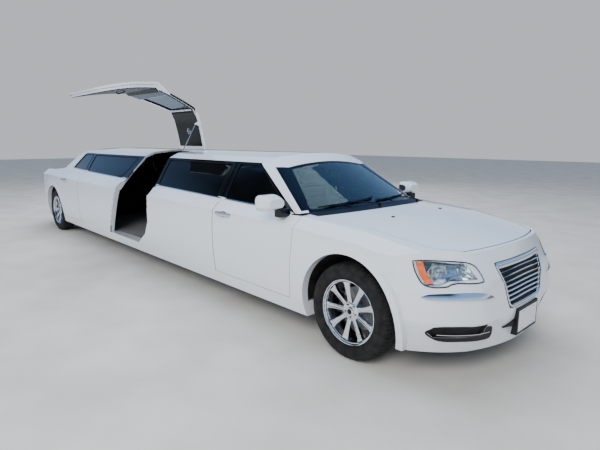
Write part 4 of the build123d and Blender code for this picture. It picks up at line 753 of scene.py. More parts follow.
def rounded(points, radius, steps=5):
    """Closed outline with its corners rounded, as 2-D points."""
    made = []
    count = len(points)
    for i in range(count):
        before, here, after = Vector(points[i - 1]), Vector(points[i]), Vector(points[(i + 1) % count])
        wanted = radius[i] if isinstance(radius, tuple) else radius
        r = min(wanted, (before - here).length * 0.45, (after - here).length * 0.45)
        start, end = here + (before - here).normalized() * r, here + (after - here).normalized() * r
        for t in spread(0, 1, steps + 1):
            made.append(start * (1 - t) ** 2 + here * 2 * t * (1 - t) + end * t * t)
    return made


def filled(points, pitch):
    """Closed outline with points added along its runs."""
    made = []
    for i, here in enumerate(points):
        after = points[(i + 1) % len(points)]
        count = max(1, int((Vector(after) - Vector(here)).length / pitch))
        made += [Vector(here).lerp(Vector(after), k / count) for k in range(count)]
    return made


# Side glass openings, as (x, z), with the body and node that carry them
WINDOWS = (
    ("front_door", [(1.9, 1.043), (2.77, 1.026), (2.245, 1.34), (2.17, 1.362), (1.9, 1.362)]),
    ("rear_door", [(-2.115, 1.124), (-2.115, 1.362), (-2.505, 1.362), (-2.745, 1.139)]),
)
FIXED_WINDOWS = (
    ("body_side_right", RIGHT, [(1.75, 1.046), (1.75, 1.362), (0.478, 1.364), (0.478, 1.071)]),
    ("body_side_right", RIGHT, [(-1.97, 1.121), (-1.97, 1.362), (-0.42, 1.362), (-0.65, 1.094)]),
    ("body_side_left", LEFT, [(1.75, 1.046), (1.75, 1.362), (-0.11, 1.362), (-0.11, 1.083)]),
    ("body_side_left", LEFT, [(-0.19, 1.085), (-0.19, 1.362), (-1.97, 1.362), (-1.97, 1.121)]),
)


def seal_line(tree, side, outline):
    """Points and normals on the frame just outside a window's outline."""
    middle = sum((Vector(p) for p in outline), Vector((0, 0))) / len(outline)
    grown = [Vector(p) + (Vector(p) - middle).normalized() * 0.01 for p in outline]
    line = []
    for spot in filled(rounded(grown, 0.014), 0.05):
        outward = (spot - middle).normalized() * 0.002
        while meet(tree, (spot.x, side * 1.5, spot.y), (0, -side, 0)) is None:
            spot = spot + outward
        line.append(side_point(tree, side, *spot))
    return line


def window_seal(name, node, side, outline, body):
    """Rubber bead round a window, on the face of the frame."""
    line = seal_line(surface_of(node), side, outline)
    return fasten(sweep(name, line, BEAD, "seal", closed=True), body, "cowl")


def seal_windows():
    """A bead round every side window but the gull-wing door's."""
    for door, outline in WINDOWS:
        for side, label in SIDES:
            node = f"{door}_{label}"
            window_seal(f"window_seal_{node}", node, side, outline, node)
    for index, (node, side, outline) in enumerate(FIXED_WINDOWS):
        window_seal(f"window_seal_fixed_{index + 1}", node, side, outline, "body")


# Nose: plan outline by height, as (z, x at the centre, x at the corner of the bow), and the y of that corner
NOSE = (
    (0.15, 4.395, 4.25), (0.45, 4.427, 4.388), (0.66, 4.402, 4.362), (0.92, 4.308, 4.222),
    (1.16, 4.18, 4.1),
)
BOW_Y = 0.55


def nose_x(y, z):
    """Forward reach of the bumper cover between its corners."""
    for (z0, a0, b0), (z1, a1, b1) in zip(NOSE, NOSE[1:]):
        if z <= z1 or z1 == NOSE[-1][0]:
            t = (z - z0) / (z1 - z0)
            middle, bow = a0 + (a1 - a0) * t, b0 + (b1 - b0) * t
            return middle - (middle - bow) * (y / BOW_Y) ** 2


def nose_point(y, z, lift=0.0):
    """A point of the nose, lifted off it, and the normal there."""
    step = 0.004
    p = Vector((nose_x(y, z), y, z))
    dy = Vector((nose_x(y + step, z), y + step, z)) - p
    dz = Vector((nose_x(y, z + step), y, z + step)) - p
    n = dy.cross(dz).normalized()
    return p + n * lift, n


# Grille: its outer corners as (y, z), the frame's width on each side, its section from the outer edge to the
# inner one as (share, lift), and the section of a blade
GRILLE_TOP, GRILLE_FOOT = (0.3617, 0.7947), (0.2617, 0.4783)
FRAME_TOP, FRAME_SIDE, FRAME_FOOT = 0.04, 0.017, 0.02
FRAME_SECTION = ((0.0, -0.016), (0.0, 0.001), (0.12, 0.0052), (0.45, 0.0058), (0.8, 0.0035), (1.0, -0.003),
                 (1.0, -0.02))
BLADE = [(0.0025, -0.018), (0.0045, -0.018), (0.005, -0.005), (0.003, 0.001), (-0.002, 0.0015),
         (-0.005, -0.003)]
# The blades share the height that is left between these margins
BLADE_MARGIN = 0.026


def dress_grille(look):
    """Heavy chrome surround with bowed blades across a dark opening."""
    (top_y, top_z), (foot_y, foot_z) = GRILLE_TOP, GRILLE_FOOT
    outer = [(top_y, top_z), (-top_y, top_z), (-foot_y, foot_z), (foot_y, foot_z)]
    inner_top, inner_foot = top_z - FRAME_TOP, foot_z + FRAME_FOOT

    def half(z):
        return foot_y + (top_y - foot_y) * (z - foot_z) / (top_z - foot_z) - FRAME_SIDE
    inner = [(half(inner_top), inner_top), (-half(inner_top), inner_top),
             (-half(inner_foot), inner_foot), (half(inner_foot), inner_foot)]
    outline_out = rounded(outer, (0.028, 0.028, 0.05, 0.05), 6)
    outline_in = rounded(inner, (0.018, 0.018, 0.04, 0.04), 6)
    pairs = []
    for i in range(len(outline_out)):
        a0, a1 = outline_out[i], outline_out[(i + 1) % len(outline_out)]
        b0, b1 = outline_in[i], outline_in[(i + 1) % len(outline_in)]
        count = max(1, int((a1 - a0).length / 0.03))
        pairs += [(a0.lerp(a1, k / count), b0.lerp(b1, k / count)) for k in range(count)]
    rings = [[nose_point(*a.lerp(b, share), lift)[0] for a, b in pairs] for share, lift in FRAME_SECTION]
    made = [grid("surround", rings + [rings[0]], finish="chrome", angle=40)]
    pitch = (top_z - foot_z - 2 * BLADE_MARGIN) / (look.grille_bars + 1)
    for i in range(look.grille_bars):
        z = foot_z + BLADE_MARGIN + pitch * (i + 1) - 0.003
        wide = half(z) + 0.004
        line = [nose_point(y, z + 0.0035 * cos(pi * y / wide)) for y in spread(-wide, wide, 25)]
        made.append(sweep("blade", line, BLADE))
    grille = joined("grille_surround_and_blades", made)
    shade(grille, 40)
    fasten(grille, "body", "grille", "grille")
    middle = Vector((0.0, (top_z + foot_z) / 2))
    line = [nose_point(*(q + (q - middle).normalized() * 0.0025)) for q, _ in pairs]
    fasten(sweep("grille_gasket", line, GASKET, "seal", closed=True), "body", "grille")


# Chrome blade under a lamp: x near it, y, top z and bottom z
STRIP = (
    (4.104, 0.874, 0.6225, 0.6175), (4.135, 0.858, 0.64, 0.607), (4.172, 0.836, 0.649, 0.605),
    (4.216, 0.793, 0.654, 0.604), (4.294, 0.704, 0.658, 0.602), (4.331, 0.645, 0.655, 0.6),
    (4.35, 0.6, 0.65, 0.597), (4.365, 0.55, 0.64, 0.594), (4.373, 0.501, 0.626, 0.59),
    (4.38, 0.47, 0.61, 0.589), (4.385, 0.442, 0.593, 0.59),
)
# Lower side grille: its outline, the opening in the cover behind it, and the point both are seen round
SIDE_FRAME = (
    (4.366, 0.414, 0.33), (4.378, 0.44, 0.385), (4.378, 0.48, 0.404), (4.304, 0.6, 0.423),
    (4.27, 0.694, 0.436), (4.19, 0.795, 0.434), (4.16, 0.826, 0.408), (4.15, 0.83, 0.375),
    (4.18, 0.79, 0.335), (4.2, 0.738, 0.312), (4.279, 0.631, 0.306), (4.353, 0.44, 0.295),
)
SIDE_OPENING = ((0.512, 0.345), (0.512, 0.428), (0.818, 0.428), (0.824, 0.38), (0.79, 0.345))
SIDE_MIDDLE = Vector((0.665, 0.384))
# Its rings from the outline to the opening, as (share, lift)
SIDE_RINGS = [(0.0, -0.001), (0.0, 0.0026), (0.08, 0.003)]
SIDE_RINGS += [(share, 0.0016) for share in (0.15, 0.3, 0.45, 0.6, 0.75, 0.88, 1.0)]
# Its chrome bar: section, the y it runs between, and the heights of the two lines that give it its slope
SIDE_BAR = [(-0.0025, -0.008), (0.0025, -0.008), (0.003, 0.0), (0.0, 0.002), (-0.003, 0.0)]
BAR_INNER, BAR_OUTER = 0.452, 0.785
BAR_FOOT, BAR_TOP = 0.296, 0.446
# Blade under a lamp: its section as (share, lift), at the full height of its middle
BLADE_FACETS = ((0.0, -0.001), (0.02, 0.001), (0.74, 0.017), (0.8, 0.017), (0.97, 0.002), (1.0, -0.001))
BLADE_FULL = 0.054


def smooth_rows(rows, count):
    """Rows of numbers blended into more rows along a Catmull-Rom curve."""
    made = []
    for k in range(count):
        t = k / (count - 1) * (len(rows) - 1)
        i = min(int(t), len(rows) - 2)
        t -= i
        a, b, c, d = (rows[max(0, min(len(rows) - 1, i + j))] for j in (-1, 0, 1, 2))
        made.append([
            0.5 * (2 * q + (r - p) * t + (2 * p - 5 * q + 4 * r - s) * t * t
                   + (3 * q - p - 3 * r + s) * t ** 3)
            for p, q, r, s in zip(a, b, c, d)
        ])
    return made


def lamp_blades():
    """Tapered chrome blade under each headlamp: a broad upper facet over a narrow lower one."""
    tree = surface_of("front_bumper")
    for side, label in SIDES:
        rows = []
        for x, y, top, foot in smooth_rows(STRIP, 33):
            tall = (top - foot) / BLADE_FULL
            row = []
            for share, lift in BLADE_FACETS:
                at = (x, side * y, top + (foot - top) * share)
                row.append(cling(tree, at, lift * min(1.0, tall))[0])
            rows.append(row)
        fasten(grid(f"chrome_blade_{label}", rows, ends=True, angle=25), "body", "grille")


def edge_hit(outline, middle, heading):
    """Where a ray from the middle crosses a closed outline."""
    for i, a in enumerate(outline):
        a, b = Vector(a), Vector(outline[(i + 1) % len(outline)])
        run = b - a
        turn = heading.x * run.y - heading.y * run.x
        if abs(turn) < 1e-9:
            continue
        gap = a - middle
        reach = (gap.x * run.y - gap.y * run.x) / turn
        share = (gap.x * heading.y - gap.y * heading.x) / turn
        if reach > 0 and -1e-6 <= share <= 1 + 1e-6:
            return middle + heading * reach
    raise ValueError("the ray leaves the outline nowhere")


def side_grilles():
    """Black moulded grille insert at each lower corner, with one thin chrome bar."""
    tree = surface_of("front_bumper")
    for side, label in SIDES:
        outline = smooth_rows(list(SIDE_FRAME) + [SIDE_FRAME[0]], 73)[:-1]
        rings = [[] for _ in SIDE_RINGS]
        for x, y, z in outline:
            heading = (Vector((y, z)) - SIDE_MIDDLE).normalized()
            inner = edge_hit(SIDE_OPENING, SIDE_MIDDLE, heading) + heading * 0.0015
            inner_x = cling(tree, (x, side * inner.x, inner.y))[0].x
            for ring, (share, lift) in zip(rings, SIDE_RINGS):
                at = Vector((x, side * y, z)).lerp(Vector((inner_x, side * inner.x, inner.y)), share)
                ring.append(land(tree, (5.2, at.y, at.z), (-1, 0, 0), lift)[0])
        rings.append([p + Vector((-0.012, 0, 0)) for p in rings[-1]])
        insert = grid("insert", rings, finish="black_plastic", angle=40)
        line = []
        for t in spread(0, 1, 21):
            y = BAR_INNER + (BAR_OUTER - BAR_INNER) * t
            above, n = land(tree, (5.2, side * y, BAR_TOP), (-1, 0, 0))
            below, _ = land(tree, (5.2, side * y, BAR_FOOT), (-1, 0, 0))
            at = below.lerp(above, (0.356 + 0.014 * t - BAR_FOOT) / 0.15)
            line.append((at + n * 0.006, n))
        bar = sweep("bar", line, SIDE_BAR)
        fasten(joined(f"side_grille_{label}", [insert, bar]), "body", "grille_backing")


def plate_arm():
    """Curved bracket arm from the front plate's lower corner, on the right side only."""
    tree = surface_of("front_bumper")
    rows = []
    for t in spread(0, 1, 9):
        y, z, half = -0.16 - 0.162 * t, 0.352 - 0.003 * t, 0.034 * (1 - t) ** 1.6 + 0.003
        p, n = cling(tree, (4.42, y, z))
        section = ((0.001, -half * 0.6), (0.012, -half * 0.6), (0.012, half), (0.001, half))
        rows.append([p + n * a + Vector((0, 0, b)) for a, b in section])
    arm = grid("plate_arm", rows, ends=True, finish="black_plastic", angle=40)
    fasten(arm, "body", "number_plates")


def bonnet_gap_seal_and_shade():
    """Black rubber lip in the gap ahead of the bonnet, also painted shade that darkens the gap."""
    tree = surface_of("bonnet")
    line = []
    for k in range(53):
        y = -0.765 + 1.53 * k / 52
        x = 4.45
        while x > 3.9 and meet(tree, (x, y, 2.0), (0, 0, -1)) is None:
            x -= 0.0015
        hit = meet(tree, (x - 0.006, y, 2.0), (0, 0, -1))
        if hit is not None:
            line.append((Vector((x + 0.0022, y, hit.z - 0.0035)), Vector((0.3, 0, 1))))
    # The strip sits below the bonnet's edge and also serves as painted shade, so that the gap reads dark.
    section = [(-0.0018, -0.006), (0.0018, -0.006), (0.0018, 0.0), (-0.0018, 0.0)]
    fasten(sweep("bonnet_front_seal_and_shade", line, section, "seal"), "body", "front_bumper")


# Wheels and tyres

# Axles by their x, and the hubs' distance from the centre line and height
AXLES = (("front", 3.522), ("rear", -3.34))
HUB_Y, HUB_Z = 0.805, 0.3635
HUBS = {f"{end}_{label}": (x, side * HUB_Y, HUB_Z) for end, x in AXLES for side, label in SIDES}
# Sections turned about the wheel's axis, as (radius, outward from the middle of the wheel)
BARREL = [
    (0.245, 0.089), (0.245, 0.0968), (0.2425, 0.098), (0.2385, 0.0966), (0.236, 0.0915), (0.234, 0.084),
    (0.23, 0.076), (0.225, 0.068), (0.2205, 0.052), (0.218, 0.03), (0.2175, -0.07), (0.226, -0.086),
    (0.237, -0.0975), (0.245, -0.0975), (0.245, -0.089), (0.2282, -0.082), (0.2282, 0.082),
]
HUB = [
    (0.0281, -0.059), (0.0281, -0.001), (0.0, -0.001), (0.0, 0.071), (0.018, 0.0712), (0.03, 0.07),
    (0.0335, 0.067), (0.0345, 0.061), (0.04, 0.0595), (0.066, 0.059), (0.072, 0.056), (0.074, 0.048),
    (0.074, 0.03), (0.062, 0.01), (0.062, -0.059),
]
CAP = [(0.0, 0.0722), (0.015, 0.0723), (0.0205, 0.0718), (0.021, 0.07), (0.0, 0.07)]
DISC = [
    (0.063, -0.0362), (0.164, -0.0362), (0.165, -0.0372), (0.165, -0.043), (0.161, -0.044), (0.161, -0.05),
    (0.165, -0.051), (0.165, -0.057), (0.164, -0.058), (0.063, -0.058),
]
# Spoke from hub to barrel, as (radius, half width, outward), its depth and the section of its crown
SPOKE = ((0.05, 0.0225, 0.056), (0.08, 0.018, 0.06), (0.12, 0.018, 0.064), (0.165, 0.021, 0.069),
         (0.198, 0.025, 0.073), (0.214, 0.03, 0.0755), (0.2215, 0.036, 0.077))
SPOKE_DEPTH = 0.024
HALF_CROWN = [(1, -SPOKE_DEPTH), (1, -0.006), (0.82, -0.0015), (0.45, 0.0), (0.2, -0.0035)]
CROWN = [(-share, h) for share, h in HALF_CROWN] + HALF_CROWN[::-1]


def spoke(side):
    """One crowned spoke along +X with a groove down its middle."""
    rows = [[Vector((r, side * (out + h), share * w)) for share, h in CROWN] for r, w, out in SPOKE]
    return grid("spoke", rows, ends=True, angle=35)


def lug_nut(side):
    """Hexagonal nut with a domed end, standing on the hub face."""
    rows = []
    for r, out in ((0.0105, 0.055), (0.0105, 0.0665), (0.0092, 0.0695), (0.006, 0.0722), (0.002, 0.073)):
        rows.append([Vector((0.052 + u, side * out, v)) for u, v in circle(6, r)])
    return grid("lug_nut", rows, ends=True, angle=35)


def fit_wheels(look):
    """Chrome nine-spoke rims with hub, nuts, cap and brake disc."""
    ring = ring_tree()
    for place, hub in HUBS.items():
        side = LEFT if hub[1] > 0 else RIGHT
        made = [
            lathe("turned", section, hub, side, finish, steps)
            for section, finish, steps in ((BARREL, "chrome", 96), (HUB, "chrome", 64),
                (CAP, "black_gloss", 48))
        ]
        for maker, count in ((spoke, look.spokes), (lug_nut, 5)):
            part = maker(side)
            repeat(part, ring, 35, Count=count, Start=0.35, Finish=FINISH["chrome"])
            part.data.transform(Matrix.Translation(hub))
            made.append(part)
        rim = joined(f"rim_chrome_{place}", made)
        shade(rim, 35)
        fasten(rim, f"wheel_{place}", f"rim_{place}", f"rim_{place}")
        disc = lathe(f"brake_disc_{place}", DISC, hub, side, "steel", 72)
        fasten(disc, f"wheel_{place}", f"rim_{place}")


# Sidewall and tread of the tyre, as (radius, outward) from bead to the middle of the tread
TYRE_HALF = (
    (0.2286, 0.08), (0.2456, 0.0892), (0.25, 0.095), (0.257, 0.101), (0.258, 0.1025), (0.264, 0.1062),
    (0.276, 0.11), (0.29, 0.1123), (0.305, 0.1123), (0.307, 0.1112), (0.32, 0.11), (0.333, 0.1068),
    (0.343, 0.101), (0.351, 0.093), (0.357, 0.084), (0.3605, 0.074), (0.3626, 0.062), (0.363, 0.0475),
    (0.356, 0.0455), (0.356, 0.0385), (0.3632, 0.037), (0.3634, 0.018), (0.356, 0.0165), (0.356, 0.0095),
    (0.3635, 0.008),
)
TREAD_PITCHES = 68
# Rows of one pitch, as (share of the pitch, whether it lies in the slot)
SLOT_PHASES = ((0.0, 1), (0.16, 1), (0.2, 0), (0.96, 0))
# Slots: the radius they start at and half width they start outside of on the shoulder, and the rib's own
SHOULDER_R, SHOULDER_W = 0.344, 0.05
RIB_R, RIB_INNER, RIB_OUTER = 0.36, 0.019, 0.0375


def fit_tyres():
    """Radial tyres with four grooves, slotted shoulders and a smooth sidewall."""
    for place, hub in HUBS.items():
        profile = list(TYRE_HALF) + [(r, -w) for r, w in reversed(TYRE_HALF)]
        rows = []
        for pitch in range(TREAD_PITCHES):
            for phase, slot in SLOT_PHASES:
                a = 2 * pi * (pitch + phase) / TREAD_PITCHES
                row = []
                for r, w in profile:
                    cut = 0.0
                    if slot and r > SHOULDER_R and abs(w) > SHOULDER_W:
                        cut = 0.0055 * min(1.0, (r - SHOULDER_R) / 0.012)
                    elif slot and r > RIB_R and RIB_INNER < abs(w) < RIB_OUTER:
                        cut = 0.004
                    reach = r - cut
                    row.append(Vector((hub[0] + reach * cos(a), hub[1] + w, hub[2] + reach * sin(a))))
                rows.append(row)
        rows.append(rows[0])
        tyre = grid(f"tyre_radial_{place}", rows, finish="tyre", angle=25)
        fasten(tyre, f"wheel_{place}", f"tyre_{place}", f"tyre_{place}")


# Lamps

# Point that each pair of lamps is seen round, as (x, distance from the centre line), and the end it faces
CORNER = {"headlamps": (3.9, 0.45, 1), "tail_lamps": (-3.95, 0.5, -1)}


def lamp_ray(node, side, degrees, z):
    """Start and direction of a level ray onto a lamp, by its angle from straight ahead or astern."""
    x, y, end = CORNER[node]
    a = radians(degrees)
    out = Vector((end * cos(a), side * sin(a), 0))
    return Vector((x, side * y, z)) + out * 1.6, -out


def lamp_point(tree, node, side, degrees, z, depth=0.0):
    """A point of the lamp's skin, sunk by a depth, and the normal there."""
    start, inward = lamp_ray(node, side, degrees, z)
    hit, normal = land(tree, start, inward)
    return hit + inward * depth, normal


def lens_and_bucket(node, lens_name, bucket_name, lens_finish, bucket_finish):
    """Splits the lamp solid's skin from its walls: a thin lens, and an open bucket behind it."""
    tree = surface_of(node)
    corner_x, corner_y, _ = CORNER[node]
    bm = bmesh.new()
    bm.from_mesh(frame["nodes"][node].data)
    bmesh.ops.remove_doubles(bm, verts=bm.verts, dist=WELD)
    skin, walls = [], []
    for face in bm.faces:
        centre = face.calc_center_median()
        side = LEFT if centre.y > 0 else RIGHT
        out = Vector((centre.x - corner_x, centre.y - side * corner_y, 0)).normalized()
        hit = tree.ray_cast(centre + out * 0.8, -out)[0]
        (skin if hit and (hit - centre).length < 0.0015 else walls).append(face)
    for name, dropped, finish, thick in (
        (lens_name, walls, lens_finish, 0.003), (bucket_name, skin, bucket_finish, 0.002),
    ):
        part = bm.copy()
        part.faces.ensure_lookup_table()
        doomed = {f.index for f in dropped}
        bmesh.ops.delete(part, geom=[f for f in part.faces if f.index in doomed], context="FACES")
        mesh = bpy.data.meshes.new(name)
        part.to_mesh(mesh)
        part.free()
        piece = wall(new_piece(name, mesh, finish), thick, -1)
        fasten(piece, "body", node, *([node] if name == lens_name else []))
    bm.free()
    return tree


# Section of a reflector from its rim in to its bulb's cap, as shares of its radius and depth
BOWL = ((1.06, -0.1), (1.08, 0.0), (1.03, 0.02), (0.98, -0.02), (0.85, -0.35), (0.62, -0.68), (0.35, -0.9),
        (0.24, -0.95), (0.24, -0.45), (0.16, -0.32), (0.02, -0.28))


def bowl(name, middle, facing, radius, depth):
    """Dished reflector with a rolled rim and a cap over its bulb."""
    facing = facing.normalized()
    e1 = facing.orthogonal().normalized()
    e2 = facing.cross(e1)
    rows = []
    for share, push in BOWL:
        rows.append([
            middle + (e1 * u + e2 * v) * radius * share + facing * depth * push for u, v in circle(32)
        ])
    return grid(name, rows, finish="reflector", angle=50)


def tube(name, path, radius, finish, closed=False, steps=10):
    """Round bar along a path."""
    count = len(path)
    rows = []
    for i, p in enumerate(path):
        p = Vector(p)
        ahead = Vector(path[(i + 1) % count] if closed or i < count - 1 else p)
        behind = Vector(path[i - 1] if closed or i else p)
        run = (ahead - behind).normalized()
        e1 = run.cross(Vector((0, 0, 1)))
        e1 = e1.normalized() if e1.length > 0.05 else run.orthogonal().normalized()
        e2 = run.cross(e1)
        rows.append([p + e1 * a + e2 * b for a, b in circle(steps, radius)])
    if closed:
        rows.append(rows[0])
    return grid(name, rows, ends=not closed, finish=finish, angle=60)


# Headlamp outline on the right side, in order from the rear top corner
LAMP_EDGE = (
    (4.014, 0.847, 0.836), (4.06, 0.808, 0.841), (4.116, 0.762, 0.842), (4.199, 0.671, 0.835),
    (4.24, 0.612, 0.828), (4.266, 0.574, 0.817), (4.29, 0.548, 0.797), (4.303, 0.536, 0.774),
    (4.32, 0.526, 0.745), (4.334, 0.522, 0.718), (4.341, 0.53, 0.705), (4.329, 0.579, 0.703),
    (4.3, 0.64, 0.706), (4.26, 0.697, 0.71), (4.232, 0.74, 0.703), (4.217, 0.768, 0.692),
    (4.161, 0.821, 0.687), (4.11, 0.85, 0.698), (4.079, 0.858, 0.726), (4.04, 0.856, 0.78),
)
# Light guide behind the lens, as (degrees, z): round the large bowl and out along the lamp
GUIDE = (
    (56, 0.806), (50, 0.812), (43, 0.812), (36, 0.808), (29, 0.803), (23, 0.796), (19, 0.784),
    (18.5, 0.769), (22, 0.757), (28, 0.753), (34, 0.75), (39, 0.739), (43, 0.723), (49, 0.714), (55, 0.722),
    (59, 0.745), (60, 0.778),
)
# Rear edge of the amber marker, as (z, degrees), and the width of the marker in degrees
MARKER_EDGE = ((0.834, 73.0), (0.806, 71.6), (0.78, 70.0), (0.752, 67.8), (0.726, 65.2), (0.708, 62.6))
MARKER_WIDTH = 6.6
# Gasket's section as (across, out), and the pearl rim's as (inset, lift)
LAMP_GASKET = [(-0.0046, -0.002), (0.0046, -0.002), (0.0036, 0.0032), (-0.0036, 0.0032)]
LAMP_RIM = ((0.003, -0.001), (0.004, 0.0024), (0.012, 0.0024), (0.014, 0.0))
# Bowls behind the lens, as (degrees, z, depth, radius), and the heading they face
BOWLS = ((49, 0.767, 0.036, 0.048), (27, 0.778, 0.03, 0.026))
BOWL_HEADING = radians(26)


def fit_headlamps():
    """Clear wrap-round lens with a black gasket, over bowls, a light guide and an amber marker."""
    node = "headlamps"
    tree = lens_and_bucket(node, "headlamp_lenses", "headlamp_buckets", "lens", "reflector")
    around = surface_of("headlamps", "front_fenders", "front_bumper")
    for side, label in SIDES:
        edge = smooth_rows(list(LAMP_EDGE) + [LAMP_EDGE[0]], 81)[:-1]
        line = [cling(around, (x, side * y, z)) for x, y, z in edge]
        gasket = sweep("gasket", line, LAMP_GASKET, "seal", closed=True)
        path = [p for p, _ in line]
        middle = sum(path, Vector()) / len(path)
        rows = []
        for inset, lift in LAMP_RIM:
            rows.append([cling(around, p + (middle - p).normalized() * inset, lift)[0] for p in path])
        rim = grid("rim", rows, finish="pearl", angle=40)
        rows = []
        for z, rear in smooth_rows(MARKER_EDGE, 13):
            row = []
            for k in range(7):
                start, inward = lamp_ray(node, side, rear - 1.2 - MARKER_WIDTH * k / 6, z)
                row.append(land(around, start, inward, 0.003)[0])
            rows.append(row)
        marker = grid("marker", rows, closed=False, finish="amber_lens")
        fasten(joined(f"headlamp_gasket_and_marker_{label}", [gasket, rim, marker]), "body", node)

        made = []
        for degrees, z, depth, radius in BOWLS:
            at = lamp_point(tree, node, side, degrees, z, depth)[0]
            facing = Vector((cos(BOWL_HEADING), side * sin(BOWL_HEADING), 0))
            made.append(bowl("bowl", at, facing, radius, 0.04))
        round_trip = smooth_rows(list(GUIDE) + [GUIDE[0]], 61)[:-1]
        loop = [lamp_point(tree, node, side, degrees, z, 0.01)[0] for degrees, z in round_trip]
        made.append(tube("guide", loop, 0.003, "reflector", closed=True, steps=8))
        lamp = joined(f"headlamp_inner_{label}", made)
        shade(lamp, 45)
        fasten(lamp, "body", node)


def fit_tail_lamps():
    """Red lens over a black bucket, with a chrome divider."""
    node = "tail_lamps"
    tree = lens_and_bucket(node, "tail_lamp_lenses", "tail_lamp_buckets", "red_lens", "black_plastic")
    for side, label in SIDES:
        line = [land(tree, (-5.2, side * 0.735, z), (1, 0, 0)) for z in spread(0.66, 0.97, 14)]
        fasten(sweep(f"tail_lamp_blade_{label}", line, BEAD), "body", node)


# Gull-wing door


# Its hinge line along X, its turns open and shut, its pane as (x, z), and the height of its frame's head
# when shut
GULL_AXIS_POINT = Vector((0, -0.1, 1.482))
GULL_OPEN, GULL_SHUT = (Matrix.Rotation(radians(angle), 3, "X") for angle in (-84, 84))
GULL_PANE = [(0.325, 1.074), (0.325, 1.362), (-0.193, 1.362), (-0.388, 1.088)]
GULL_HEAD = 1.395
# Runs of the seal on its inner face, as (x, z) to (x, z), and the seal's section
GULL_SEAL = (
    ((0.386, 1.33), (0.386, 0.655)), ((-0.262, 1.33), (-0.492, 1.01)), ((-0.492, 1.01), (-0.69, 0.6)),
    ((-0.69, 0.6), (-0.838, 0.3)), ((-0.82, 0.29), (0.03, 0.29)),
)
GULL_LIP = [(-0.006, -0.002), (0.006, -0.002), (0.005, 0.006), (0.0, 0.009), (-0.005, 0.006)]


def shut(point):
    """Where a point of the open gull-wing door lies with the door shut."""
    return GULL_SHUT @ (point - GULL_AXIS_POINT) + GULL_AXIS_POINT


def opened(point):
    """Where a point of the shut gull-wing door lies with the door open."""
    return GULL_OPEN @ (point - GULL_AXIS_POINT) + GULL_AXIS_POINT


def opened_line(line):
    """A line on the shut door, its points and normals turned open."""
    return [(opened(p), opened(p + n) - opened(p)) for p, n in line]


def shut_tree(node):
    """Ray target made of one of the door's nodes, turned shut."""
    bm = bmesh.new()
    bm.from_mesh(frame["nodes"][node].data)
    for vertex in bm.verts:
        vertex.co = shut(vertex.co)
    tree = BVHTree.FromBMesh(bm)
    bm.free()
    return tree


def dress_gull_door(look):
    """White outer skin and jamb, black window frame, gloss lining, moulding, seals, fittings and strut."""
    tree = shut_tree("gull_door")

    def pick(centre, normal):
        c, n = shut(centre), GULL_SHUT @ normal
        framed = c.y < -0.6 and belt(c.x, BLACK_FROM) < c.z < GULL_HEAD and n.y < 0.4
        return BLACK if framed else PAINT
    cut = [
        (opened(Vector((BELT_X, -0.9, BELT_Z + BLACK_FROM))), GULL_OPEN @ BELT_SLOPE),
        (opened(Vector((0, -0.6, GULL_HEAD))), GULL_OPEN @ Vector((0, 0, 1))),
    ]
    dress("gull_door", "gull_door_shell", ["paint", "black_gloss"], sort=pick, cut=cut,
          bevel=look.edge_radius)
    dress("gull_door_glass", "gull_door_pane", "dark_glass", bevel=0, glass=True)
    dress("gull_door_lining", "gull_door_trim", "lining", bevel=0.003)

    line = [side_point(tree, RIGHT, x, belt(x, 0.01), 0.0002) for x in stations(0.392, -0.44)]
    fasten(sweep("gull_door_belt_moulding", opened_line(line), BAND), "gull_wing_door", "gull_door")
    line = opened_line(seal_line(tree, RIGHT, GULL_PANE))
    bead = sweep("gull_door_window_seal", line, BEAD, "seal", closed=True)
    fasten(bead, "gull_wing_door", "gull_door")
    seal_gull_door(tree)
    fit_gull_door(shut_tree("gull_door_lining"))
    dress("strut_tube", "gas_strut_tube", "black_gloss", bevel=0.0006)
    dress("strut_rod", "gas_strut_rod", "chrome", bevel=0.0004)


def seal_gull_door(tree):
    """Rubber seal on the inner face of the door, in from its edge."""
    made = []
    for start, end in GULL_SEAL:
        line = []
        for k in range(15):
            x, z = Vector(start).lerp(Vector(end), k / 14)
            hit, n, _, _ = tree.ray_cast(Vector((x, -0.35, z)), Vector((0, -1, 0)))
            if hit is not None and n.y > 0.2:
                line.append((hit, n))
        if len(line) > 2:
            made.append(sweep("lip", opened_line(line), GULL_LIP, "seal", angle=60))
    fasten(joined("gull_door_seal", made), "gull_wing_door", "gull_door_lining")


def fit_gull_door(lining):
    """Courtesy light on the roof part of the lining and a pull handle on its side."""
    at = meet(lining, (0.12, -0.34, 1.2), (0, 0, 1))
    down = Vector((0, 0, -1))
    light = bowl("light", at + down * 0.004, down, 0.034, 0.01)
    around = [at + Vector((u, v, -0.004)) for u, v in circle(24, 0.037)]
    ring = tube("light_ring", around, 0.004, "chrome", closed=True)
    grip_path = []
    for t in spread(0, 1, 13):
        at = meet(lining, (-0.3 + 0.26 * t, -0.35, 0.72), (0, -1, 0))
        grip_path.append(at + Vector((0, 0.02 * min(1.0, 5 * min(t, 1 - t)) ** 0.5, 0)))
    grip = tube("grip", grip_path, 0.008, "black_plastic")
    fittings = joined("gull_door_light_and_grip", [light, ring, grip])
    for vertex in fittings.data.vertices:
        vertex.co = opened(vertex.co)
    shade(fittings, 45)
    fasten(fittings, "gull_wing_door", "gull_door_lining")


# Section of the doorway's seal, and the line of its rear run as (x, z)
DOORWAY_LIP = [(-0.006, 0), (0.006, 0), (0.005, 0.012), (-0.005, 0.012)]
DOORWAY_REAR = [(-0.225, 1.372), (-0.52, 1.0), (-0.718, 0.59), (-0.868, 0.3)]


